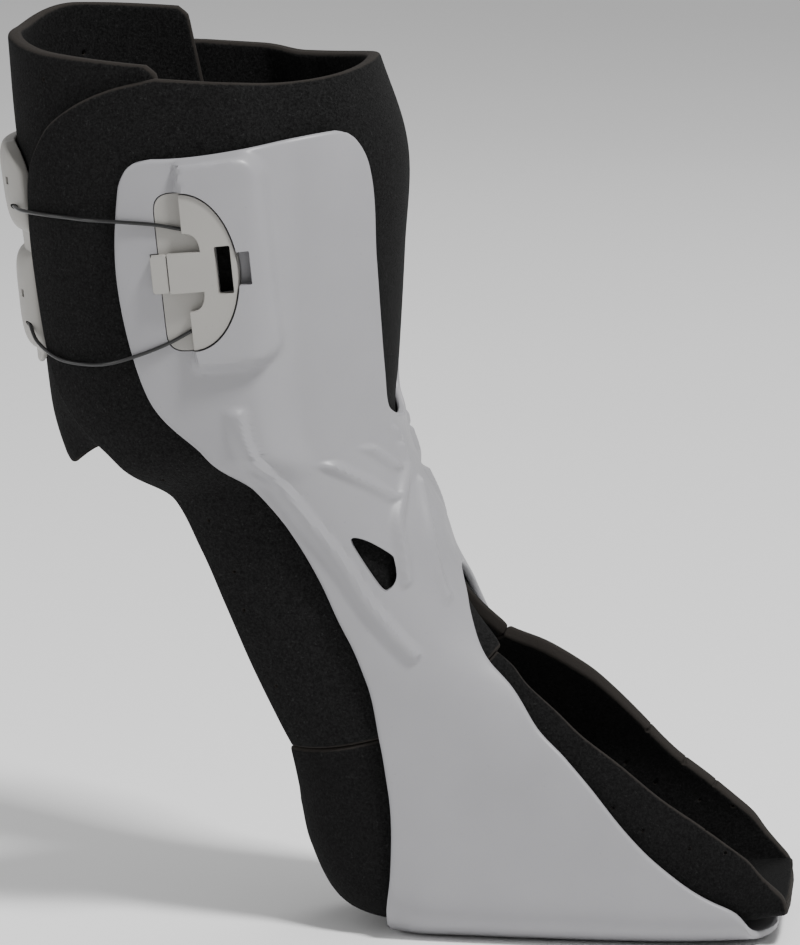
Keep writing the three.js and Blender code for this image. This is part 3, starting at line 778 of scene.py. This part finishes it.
# %% [markdown]
# ## Wires
# Two thin coated wires run from clasp to clasp, across the back of the pad through the hoods.
# They are stiff and held all the way, so nothing hangs and no simulation is needed. A few listed
# points say on which face the wire rests and how high over it. A smooth curve joins them, and a
# round tube follows the curve. Knots spaced by the root of the distance keep the curve from
# looping where the points lie close together.

# %% Wires
wire_thick = 1.3
wire_rest = wire_thick / 2 + small_gap
in_hood = plate_wall + 1.9
over = {"plate": plate_in, "liner": liner_out, "shell": shell_out}

# Columns: section, angle, face that carries the wire, height over it
upper_wire_rows = [
    (upper_wire_section, 180, "plate", in_hood),
    (upper_wire_section, 168, "plate", in_hood),
    (upper_wire_section, 157, "plate", in_hood + 0.9),
    (upper_wire_section, 149, "liner", wire_rest + 0.1),
    (upper_wire_section, 138, "liner", wire_rest),
    (upper_wire_section, 128, "liner", wire_rest + 0.3),
    (upper_wire_section - 0.01, 119.5, "liner", wire_rest + 3.3),
    (upper_wire_section - 0.01, 110, "shell", wire_rest + 0.1),
    (upper_wire_section, 101, "shell", wire_rest),
    (upper_wire_section + 0.03, 93.5, "shell", wire_rest + 0.2),
]
lower_wire_rows = [
    (lower_wire_section, 180, "plate", in_hood),
    (lower_wire_section, 168, "plate", in_hood),
    (lower_wire_section + 0.02, 157, "plate", in_hood + 0.9),
    (lower_wire_section + 0.12, 149, "liner", wire_rest + 0.1),
    (lower_wire_section + 0.22, 138, "liner", wire_rest),
    (lower_wire_section + 0.24, 127, "liner", wire_rest + 0.3),
    (lower_wire_section + 0.2, 117.5, "liner", wire_rest + 3.3),
    (lower_wire_section + 0.12, 108, "shell", wire_rest + 0.1),
    (lower_wire_section + 0.02, 99, "shell", wire_rest),
    (lower_wire_section - 0.08, 92, "shell", wire_rest + 0.2),
]


# %% A smooth path through the points


def centripetal(points, steps=10):
    """A smooth curve through the points, with knots spaced by the root of their distance."""
    points = np.vstack([2 * points[0] - points[1], points, 2 * points[-1] - points[-2]])
    knots = np.concatenate([[0], np.cumsum(np.linalg.norm(np.diff(points, axis=0), axis=1) ** 0.5)])
    curve = []
    for k in range(1, len(points) - 2):
        p0, p1, p2, p3 = points[k - 1:k + 3]
        t0, t1, t2, t3 = knots[k - 1:k + 3]
        for t in np.linspace(t1, t2, steps, endpoint=False):
            a1 = (p0 * (t1 - t) + p1 * (t - t0)) / (t1 - t0)
            a2 = (p1 * (t2 - t) + p2 * (t - t1)) / (t2 - t1)
            a3 = (p2 * (t3 - t) + p3 * (t - t2)) / (t3 - t2)
            b1 = (a1 * (t2 - t) + a2 * (t - t0)) / (t2 - t0)
            b2 = (a2 * (t3 - t) + a3 * (t - t1)) / (t3 - t1)
            curve.append((b1 * (t2 - t) + b2 * (t - t1)) / (t2 - t1))
    curve.append(points[-2])
    return np.array(curve)


def wire_path(rows):
    near = np.array([
        skin(place, angle, over[base](np.array(float(place)), np.array(float(angle))) + extra)
        for place, angle, base, extra in rows
    ])
    near[0, 1] = 0
    far = near[1:] * (1, -1, 1)
    return centripetal(np.vstack([near[::-1], far]))


# %% A round tube along the path


def tube(name, path, width, sides=12):
    """A round tube along a path of points, closed at both ends."""
    tangent = np.gradient(path, axis=0)
    tangent /= np.linalg.norm(tangent, axis=1, keepdims=True)
    up = np.array([0, 0, 1.0])
    across = np.cross(tangent, up)
    across /= np.linalg.norm(across, axis=1, keepdims=True)
    upward = np.cross(across, tangent)
    points = []
    for centre, x, y in zip(path, across, upward):
        for k in range(sides):
            turn = 2 * math.pi * (k + 0.5) / sides
            points.append(centre + width / 2 * (x * math.cos(turn) + y * math.sin(turn)))
    faces = [list(range(sides)), list(range(len(points) - 1, len(points) - 1 - sides, -1))]
    for row in range(len(path) - 1):
        for k in range(sides):
            a, b = row * sides + k, row * sides + (k + 1) % sides
            faces.append([a, a + sides, b + sides, b])
    piece = bare_object(name, points, faces)
    for face in piece.data.polygons:
        face.use_smooth = len(face.vertices) == 4
    return piece


wire_pieces = [
    tube("upper_wire", wire_path(upper_wire_rows), wire_thick),
    tube("lower_wire", wire_path(lower_wire_rows), wire_thick),
]
print("wires", [len(piece.data.vertices) for piece in wire_pieces])

# %% [markdown]
# ## Clasp
# On each wing a half-moon clasp with a short tongue presses onto a catch plate, which is let into
# the wing. The outlines are flat drawings that are pushed through the wing, and a slab with the
# wing's own curve trims them to height. Where the two overlap, a boolean keeps both the crisp
# outline and the curved face. The small rounding of the moulded edges is left to the finish.

# %% Sizes of the clasp
clasp_depth = 17.5
clasp_half_height = 26.5
clasp_thick = 3.7
tongue_reach = 5.8
tongue_half_height = 6.7
catch_inlay = 1.5
catch_margin = 9
catch_block_depth = 5.5
catch_block_half_height = 6.4
catch_block_rise = 3.4
block_corner = 1
slot_share = 0.58
slot_depth = 5.2
slot_half_height = 8
slot_corner = 0.5
lock_slot_depth = 3.8
lock_slot_half_height = 5.6
lock_corner = 0.4
lock_floor = -1.2
lock_under_moon = 1


# %% Arcs and curves of the outlines


def arc(centre, radius, start, end, steps=10):
    turns = np.radians(np.linspace(start, end, steps + 1))
    return [(centre[0] + radius * math.cos(t), centre[1] + radius * math.sin(t)) for t in turns]


def quadratic(start, pull, end, steps=8):
    start, pull, end = np.array(start), np.array(pull), np.array(end)
    return [tuple((1 - t) ** 2 * start + 2 * t * (1 - t) * pull + t * t * end)
            for t in np.linspace(0, 1, steps + 1)]


def half_moon(grow, steps=48):
    return [((clasp_depth + grow) * math.cos(t), (clasp_half_height + grow) * math.sin(t))
            for t in np.linspace(math.pi / 2, -math.pi / 2, steps + 1)]


def rounded_box(left, bottom, right, top, radius):
    return (arc((left + radius, bottom + radius), radius, 180, 270, 4)
            + arc((right - radius, bottom + radius), radius, 270, 360, 4)
            + arc((right - radius, top - radius), radius, 0, 90, 4)
            + arc((left + radius, top - radius), radius, 90, 180, 4))


# %% Outlines of half moon and catch plate


def clasp_outline():
    lobe = clasp_half_height / 2
    root = tongue_reach * 0.95
    tongue = tongue_half_height
    return (half_moon(-small_gap)
            + quadratic((0, -lobe), (root, -lobe), (root, -tongue))
            + [(-tongue_reach, -tongue), (-tongue_reach, tongue)]
            + quadratic((root, tongue), (root, lobe), (0, lobe)))


def catch_outline(grow):
    left = -catch_margin - grow
    height = clasp_half_height + grow
    bend = catch_margin * 0.7
    block_left = -tongue_reach - small_gap - catch_block_depth - grow
    block_half = catch_block_half_height + grow
    return (half_moon(grow)
            + quadratic((left + bend, -height), (left, -height), (left, -height + bend))
            + [(left, -block_half), (block_left, -block_half), (block_left, block_half),
               (left, block_half)]
            + quadratic((left, height - bend), (left, height), (left + bend, height)))


# %% Outline pushed through the brace
shortest_side = 0.02


def pushed_through(name, outline):
    """An outline as seen from the side, pushed through the whole width of the brace."""
    count = len(outline)
    points = [(x, depth, z) for depth in (-calf_width, calf_width) for x, z in outline]
    faces = [list(range(count)), list(range(2 * count - 1, count - 1, -1))]
    faces += [[k, k + count, (k + 1) % count + count, (k + 1) % count] for k in range(count)]
    piece = bare_object(name, points, faces)
    fix = bmesh.new()
    fix.from_mesh(piece.data)
    bmesh.ops.recalc_face_normals(fix, faces=fix.faces)
    fix.to_mesh(piece.data)
    fix.free()
    return piece


def prism(name, outline):
    """The same for an outline drawn round the clasp's middle, forward and up."""
    outline = [point for k, point in enumerate(outline)
               if np.linalg.norm(np.subtract(point, outline[k - 1])) > shortest_side]
    cosine, sine = math.cos(clasp_tilt), math.sin(clasp_tilt)
    return pushed_through(name, [
        (clasp_reach + forward * cosine - upward * sine,
         clasp_up + forward * sine + upward * cosine)
        for forward, upward in outline
    ])


# %% Slab with the wing's curve
slab_sections = (0.85, 3.5)
slab_angles = (128, 46)


def wing_slab(name, low, high, side):
    """A slab of the wing's own curvature between two heights above the shell's outer face."""
    places = np.linspace(*slab_sections, 70)
    angles = np.linspace(*slab_angles, 60)
    place, angle = np.meshgrid(places, angles, indexing="ij")
    layers = []
    for lift in (high, low):
        points = skin(place, angle, shell_out(place, angle) + lift)
        points[..., 1] *= side
        layers.append(points.reshape(-1, 3))
    faces = grid_quads(np.arange(place.size).reshape(place.shape), side)
    return closed_sheet(name, *layers, faces, free_edges(faces))


# %% Joining, cutting and trimming


def apply_modifiers(piece):
    """Keeps the mesh that the modifiers make, so that the next step can work on it."""
    graph = bpy.context.evaluated_depsgraph_get()
    mesh = bpy.data.meshes.new_from_object(piece.evaluated_get(graph))
    piece.modifiers.clear()
    old = piece.data
    piece.data = mesh
    bpy.data.meshes.remove(old)


def combine(piece, other, operation):
    """Joins, cuts or trims a piece by another, which is then used up."""
    modifier = piece.modifiers.new(operation.lower(), "BOOLEAN")
    modifier.operation = operation
    modifier.solver = "MANIFOLD"
    modifier.object = other
    apply_modifiers(piece)
    bpy.data.objects.remove(other)
    return piece


def trimmed(name, outline, low, high, side):
    return combine(wing_slab(name, low, high, side), prism("outline", outline), "INTERSECT")


# %% [markdown]
# The shell needs a pocket for each catch plate and slots for its lock, or the pieces would run
# into each other. The cutters are the clasp's own outlines, a small gap wider, so the thin
# parting line round the plate comes out by itself. The slot goes right through, and the black
# foam shows in it.

# %% Catch plates and clasps
above = housing_rise + shell_wall
pocket_floor = -catch_inlay - small_gap
below_wall = 0.4
through = -shell_wall - below_wall
catch_plates, clasps = {}, {}
for name, side in (("near", 1), ("far", -1)):
    plate = trimmed(f"catch_inlay_{name}", catch_outline(0), -catch_inlay, 0, side)
    right = -tongue_reach - small_gap
    block = rounded_box(right - catch_block_depth, -catch_block_half_height, right,
                        catch_block_half_height, block_corner)
    combine(plate, trimmed("block", block, -catch_inlay / 2, catch_block_rise, side), "UNION")
    moon = trimmed(f"half_moon_{name}", clasp_outline(), small_gap, clasp_thick, side)
    left = clasp_depth * slot_share
    slot = rounded_box(left, -slot_half_height, left + slot_depth, slot_half_height, slot_corner)
    combine(moon, prism("slot", slot), "DIFFERENCE")
    combine(plate, prism("slot", slot), "DIFFERENCE")
    for rows in (upper_wire_rows, lower_wire_rows):
        way = tube("wire_way", wire_path(rows), wire_thick + 2 * small_gap)
        combine(moon, way, "DIFFERENCE")
    catch_plates[name], clasps[name] = plate, moon
    combine(shell, trimmed("pocket", catch_outline(small_gap), pocket_floor, above, side),
            "DIFFERENCE")
    lock_left = clasp_depth + small_gap
    lock = rounded_box(lock_left - lock_under_moon, -lock_slot_half_height,
                       lock_left + lock_slot_depth, lock_slot_half_height, lock_corner)
    combine(shell, trimmed("lock", lock, lock_floor, above, side), "DIFFERENCE")
    combine(shell, trimmed("slot", slot, through, above, side), "DIFFERENCE")
print("clasp faces", len(clasps["near"].data.polygons), "shell", len(shell.data.polygons))

# %% [markdown]
# ## Windows and the flat sole
# A drop-shaped window opens each side wall just above the ankle. Its outline is one closed curve
# through seven points, pushed through both sides at once. A box below the floor then trims the
# sole flat.

# %% The drop-shaped windows
# Columns: reach and height, as shares of the calf's or toe's reach and of the leg's height
window_points = [
    (-0.165, 0.436), (-0.135, 0.439), (-0.075, 0.422), (-0.062, 0.412), (-0.058, 0.393),
    (-0.075, 0.381), (-0.098, 0.385),
]


def closed_curve(points, steps=8):
    points = np.array(points, float)
    count = len(points)
    curve = []
    for k in range(count):
        p0, p1, p2, p3 = (points[(k + n) % count] for n in (-1, 0, 1, 2))
        for t in np.linspace(0, 1, steps, endpoint=False):
            curve.append(p1 + t * ((p2 - p0) / 2 + t * (
                3 * (p2 - p1) - (p2 - p0) - (p3 - p1) / 2
                + t * ((p2 - p0) / 2 + (p3 - p1) / 2 - 2 * (p2 - p1)))))
    return np.array(curve)


window = closed_curve([(reach_at(reach), up * leg_height) for reach, up in window_points])
combine(shell, pushed_through("window_cut", window), "DIFFERENCE")

half_long, half_wide, deep = 300, 200, 60
under = bare_object("under_floor", [
    (x * half_long, y * half_wide, z) for z in (floor_height - deep, floor_height)
    for x, y in floor_corners
], [[3, 2, 1, 0], [4, 5, 6, 7], [0, 1, 5, 4], [1, 2, 6, 5], [2, 3, 7, 6], [3, 0, 4, 7]])
combine(shell, under, "DIFFERENCE")
print("shell after its cuts", len(shell.data.polygons), "faces")

# %% [markdown]
# ## Small holes in the foam
# Rows of pin holes let the foam breathe. Each is a thin round rod pushed through the sheet along
# the skin's own normal and cut away. A painted dot would be cheaper, but it would stay flat when
# the light comes from the side.

# %% Pin holes
hole_width = 1.3
# Columns: section, angle
upper_holes = [(4.5, 121), (5.5, 121), (6.45, 122), (7.1, 126), (8.4, 128)]
foot_holes = [
    (13.2, 38), (14.2, 50), (14.45, 70), (15.2, 74), (15.3, 56), (16.1, 60), (16.1, 74),
    (16.65, 67),
]
pad_holes = [(0.35, 137), (1.1, 137)]


def pin_holes(piece, spots, low, high):
    for place, angle in spots:
        for side in (1, -1):
            rod = np.array([skin(place, angle, lift) for lift in np.linspace(low, high, 3)])
            rod[:, 1] *= side
            combine(piece, tube("pin", rod, hole_width, sides=10), "DIFFERENCE")


pin_holes(upper_liner, upper_holes, low=-3, high=20)
pin_holes(foot_liner, foot_holes, low=-6, high=12)
pin_holes(calf_pad, pad_holes, low=-3, high=9)
print("pin holes", 2 * (len(upper_holes) + len(foot_holes) + len(pad_holes)))

# %% [markdown]
# ## Openings of the hoods
# The wire leaves each hood through a hole of its own, cut by a thicker tube along the same path.
# The small square windows on the hoods are of the kind that a moulding tool leaves. The rods that
# cut them have four sides.

# %% Wire holes and small windows in the hoods
hood_window = 3.6
hood_window_angle = 160
hood_window_lifts = (0.3, 4, 9)
for rows, place in ((upper_wire_rows, 1.36), (lower_wire_rows, 2.29)):
    way = tube("wire_way", wire_path(rows), wire_thick + 2 * small_gap)
    combine(back_plate, way, "DIFFERENCE")
    base = float(plate_in(np.array(place), np.array(float(hood_window_angle)))) + plate_wall
    for side in (1, -1):
        rod = np.array([skin(place, hood_window_angle, base + lift)
                        for lift in hood_window_lifts])
        rod[:, 1] *= side
        combine(back_plate, tube("hood_window", rod, hood_window, sides=4), "DIFFERENCE")
print("plate after its cuts", len(back_plate.data.polygons), "faces")

# %% [markdown]
# ## Crisp edges
# A boolean leaves faces that meet at a sharp corner beside faces of one smooth curve. Smooth
# shading everywhere would smear the corners, so an edge that bends more than a set angle is
# marked as a crease.

# %% Smooth faces with creases
crease_angle = 35


def smooth_with_creases(piece):
    for face in piece.data.polygons:
        face.use_smooth = True
    piece.data.set_sharp_from_angle(angle=math.radians(crease_angle))


for piece in [shell, back_plate, *catch_plates.values(), *clasps.values()]:
    smooth_with_creases(piece)

# %% [markdown]
# ## Finishes
# Each surface gets its own finish, worked out from noise at the real scale of its grain, so that
# it holds up close to the lens. Photographs of cloth would stretch over these curved sheets.
# A noise scale here is the number of grains in a metre, and a bump's depth is in millimetres.

# %% Material helper


class Finish:
    """A material and short ways to add nodes to it."""

    def __init__(self, name, roughness):
        self.material = bpy.data.materials.new(name)
        self.material.use_nodes = True
        self.tree = self.material.node_tree
        self.shader = self.tree.nodes["Principled BSDF"]
        self.shader.inputs["Roughness"].default_value = roughness
        self.place = self.node("ShaderNodeTexCoord").outputs["Object"]

    def node(self, kind, inputs=None, **settings):
        node = self.tree.nodes.new(kind)
        for key, value in settings.items():
            setattr(node, key, value)
        for key, value in (inputs or {}).items():
            self.feed(node.inputs[key], value)
        return node

    def feed(self, socket, value):
        if isinstance(value, bpy.types.NodeSocket):
            self.tree.links.new(value, socket)
        else:
            socket.default_value = value

    def noise(self, per_metre, detail=2.0, rough=0.5):
        """Cloudy noise, from 0 to 1, with finer noise laid over it."""
        node = self.node("ShaderNodeTexNoise", {
            "Vector": self.place, "Scale": per_metre, "Detail": detail, "Roughness": rough})
        return node.outputs["Fac"]

    def pores(self, per_metre):
        """Distance from the nearest of many scattered points, which looks like foam cells."""
        node = self.node("ShaderNodeTexVoronoi", {"Vector": self.place, "Scale": per_metre})
        return node.outputs["Distance"]

    def between(self, value, low, high, to_low=0.0, to_high=1.0):
        node = self.node("ShaderNodeMapRange", {
            "Value": value, "From Min": low, "From Max": high, "To Min": to_low, "To Max": to_high})
        return node.outputs["Result"]

    def mix(self, share, first, second):
        node = self.node("ShaderNodeMix", data_type="RGBA")
        self.feed(node.inputs["Factor"], share)
        self.feed(node.inputs["A"], first)
        self.feed(node.inputs["B"], second)
        return node.outputs["Result"]

    def worked_out(self, operation, first, second):
        node = self.node("ShaderNodeMath", operation=operation)
        self.feed(node.inputs[0], first)
        self.feed(node.inputs[1], second)
        return node.outputs[0]

    def times(self, first, second):
        return self.worked_out("MULTIPLY", first, second)

    def plus(self, first, second):
        return self.worked_out("ADD", first, second)

    def cut_rim(self, body):
        """The brownish cut face of the foam, where the sheet ends."""
        edge = self.node("ShaderNodeAttribute", attribute_name="edge_mm").outputs["Fac"]
        ragged = self.plus(edge, self.times(self.noise(600, 3), 0.8))
        return self.mix(self.between(ragged, 1.5, 0.9), body, grey(44, cut_tint))

    def colour(self, value):
        self.feed(self.shader.inputs["Base Color"], value)

    def bump(self, height, depth_mm, strength=1.0, edge_radius=0):
        node = self.node("ShaderNodeBump", {"Strength": strength, "Height": height,
                                            "Distance": depth_mm * MM})
        if edge_radius:
            rounding = self.node("ShaderNodeBevel", {"Radius": edge_radius * MM}, samples=4)
            self.feed(node.inputs["Normal"], rounding.outputs["Normal"])
        self.feed(self.shader.inputs["Normal"], node.outputs["Normal"])


def grey(value, tint=(1, 1, 1)):
    """A grey as it is read off a screen, from 0 to 255, as a linear colour."""
    return tuple(((value * t / 255 + 0.055) / 1.055) ** 2.4 for t in tint) + (1,)


# %% [markdown]
# The plastic is one plain grey with a fine spark-eroded grain. Slow clouds, rare dark specks and
# a roughness that wanders a little keep it from looking computed. A bevel node rounds the look of
# sharp corners, as a mould does, without more faces.

# %% Moulded plastic
corner_radius = 0.4


def moulded(name, tone, tint, roughness):
    finish = Finish(name, roughness)
    cloud = finish.noise(35, 3)
    body = finish.mix(finish.between(cloud, 0.3, 0.7),
                      grey(tone * 0.985, tint), grey(tone * 1.015, tint))
    speck = finish.between(finish.noise(900, 1), 0.72, 0.8)
    body = finish.mix(finish.times(speck, 0.12), body, grey(tone * 0.6, tint))
    finish.colour(body)
    rough = finish.between(finish.noise(240, 3), 0.3, 0.7, roughness - 0.04, roughness + 0.05)
    finish.feed(finish.shader.inputs["Roughness"], rough)
    finish.bump(finish.noise(1600, 3), 0.02, 0.5, edge_radius=corner_radius)
    return finish


shell_finish = moulded("shell_plastic", tone=148, tint=(1.0, 0.995, 1.015), roughness=0.4)
clasp_finish = moulded("clasp_plastic", tone=152, tint=(1.0, 0.985, 0.955), roughness=0.45)

# %% [markdown]
# The loop fabric is nearly black. Fine contrast makes its fuzz, and a few pale grains are a painted
# highlight, where single fibres catch the light.
# The foam's own skin shows inside, and near its edge every sheet turns to the brownish cut foam.
# The distance kept on the mesh says where.

# %% Foam and its fabric
cut_tint = (1, 0.93, 0.87)


def loop_fabric(name, tone):
    finish = Finish(name, 0.95)
    fuzz = finish.noise(1100, 6, 0.8)
    # Pale grains: painted highlight of single fibres that catch the light
    fibre_glint = finish.between(finish.noise(700, 4, 0.8), 0.6, 0.68)
    body = finish.mix(finish.between(fuzz, 0.4, 0.62), grey(tone * 0.25), grey(tone * 2.2))
    body = finish.mix(finish.times(fibre_glint, 0.55), body, grey(tone * 4))
    finish.colour(finish.cut_rim(body))
    finish.shader.inputs["Specular IOR Level"].default_value = 0.15
    finish.bump(fuzz, 0.4)
    return finish


def foam_skin(name, tone, roughness):
    finish = Finish(name, roughness)
    cells = finish.pores(1300)
    cloud = finish.noise(60, 3)
    body = finish.mix(finish.between(cloud, 0.3, 0.7), grey(tone * 0.9), grey(tone * 1.12))
    body = finish.mix(finish.times(finish.between(cells, 0.0, 0.25), 0.2), grey(tone * 0.7), body)
    finish.colour(finish.cut_rim(body))
    finish.bump(finish.plus(cells, finish.noise(500, 3)), 0.05, 0.6)
    return finish


def cut_foam(name, tone):
    finish = Finish(name, 0.9)
    cells = finish.pores(1900)
    body = finish.mix(finish.between(cells, 0.1, 0.6), grey(tone * 0.6, (1, 0.93, 0.88)),
                      grey(tone * 1.1, (1, 0.95, 0.9)))
    finish.colour(body)
    finish.bump(cells, 0.15, 0.8)
    return finish


loop_finish = loop_fabric("loop_fabric", 13)
inside_finish = foam_skin("foam_skin", 20, 0.6)
foot_finish = loop_fabric("foot_fabric", 11)
cut_finish = cut_foam("cut_foam", 50)

# %% [markdown]
# The wires have a dark, slightly glossy coating. The floor is matt and nearly white, with a cloud
# so slow that it hardly shows.

# %% Wires and floor
wire_finish = Finish("wire_coating", 0.3)
wire_finish.colour(wire_finish.mix(wire_finish.between(wire_finish.noise(900), 0.3, 0.7),
                                   grey(18), grey(26)))
wire_finish.bump(wire_finish.noise(2500), 0.01, 0.4)

floor_finish = Finish("pale_floor", 0.9)
floor_finish.colour(floor_finish.mix(floor_finish.between(floor_finish.noise(2), 0.3, 0.7),
                                     (0.95, 0.95, 0.95, 1), (0.97, 0.97, 0.97, 1)))

# %% [markdown]
# A foam sheet has three material slots, for its outer face, its inner face and the wall between
# them. Every other piece has one.

# %% Dressing the pieces


def dress(piece, *finishes):
    piece.data.materials.clear()
    for finish in finishes:
        piece.data.materials.append(finish.material)
    top = len(finishes) - 1
    for face in piece.data.polygons:
        face.material_index = min(face.material_index, top)


dress(shell, shell_finish)
dress(back_plate, clasp_finish)
dress(upper_liner, loop_finish, inside_finish, cut_finish)
dress(foot_liner, foot_finish, inside_finish, cut_finish)
dress(calf_pad, loop_finish, inside_finish, cut_finish)
dress(studio_floor, floor_finish)
for piece in [*catch_plates.values(), *clasps.values()]:
    dress(piece, clasp_finish)
for piece in wire_pieces:
    dress(piece, wire_finish)

# %% [markdown]
# ## What carries what
# The brace has no joint, so every piece rides on the one body. Each piece here stands for a solid
# of the frame, which is then hidden.

# %% Riding and replacing
# Columns: piece, node of the frame, slot
stands_for = [
    (shell, "shell", "shell"),
    (upper_liner, "liner_upper", "foam"),
    (foot_liner, "liner_foot", "foam"),
    (calf_pad, "back_pad", "foam"),
    (back_plate, "back_plate", "clasp"),
    (wire_pieces[0], "wire_upper", "wire"),
    (wire_pieces[1], "wire_lower", "wire"),
    (catch_plates["near"], "catch_plate_near", "clasp"),
    (catch_plates["far"], "catch_plate_far", "clasp"),
    (clasps["near"], "clasp_near", "clasp"),
    (clasps["far"], "clasp_far", "clasp"),
]
for piece, node, slot in stands_for:
    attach(piece, "root")
    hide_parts(node)
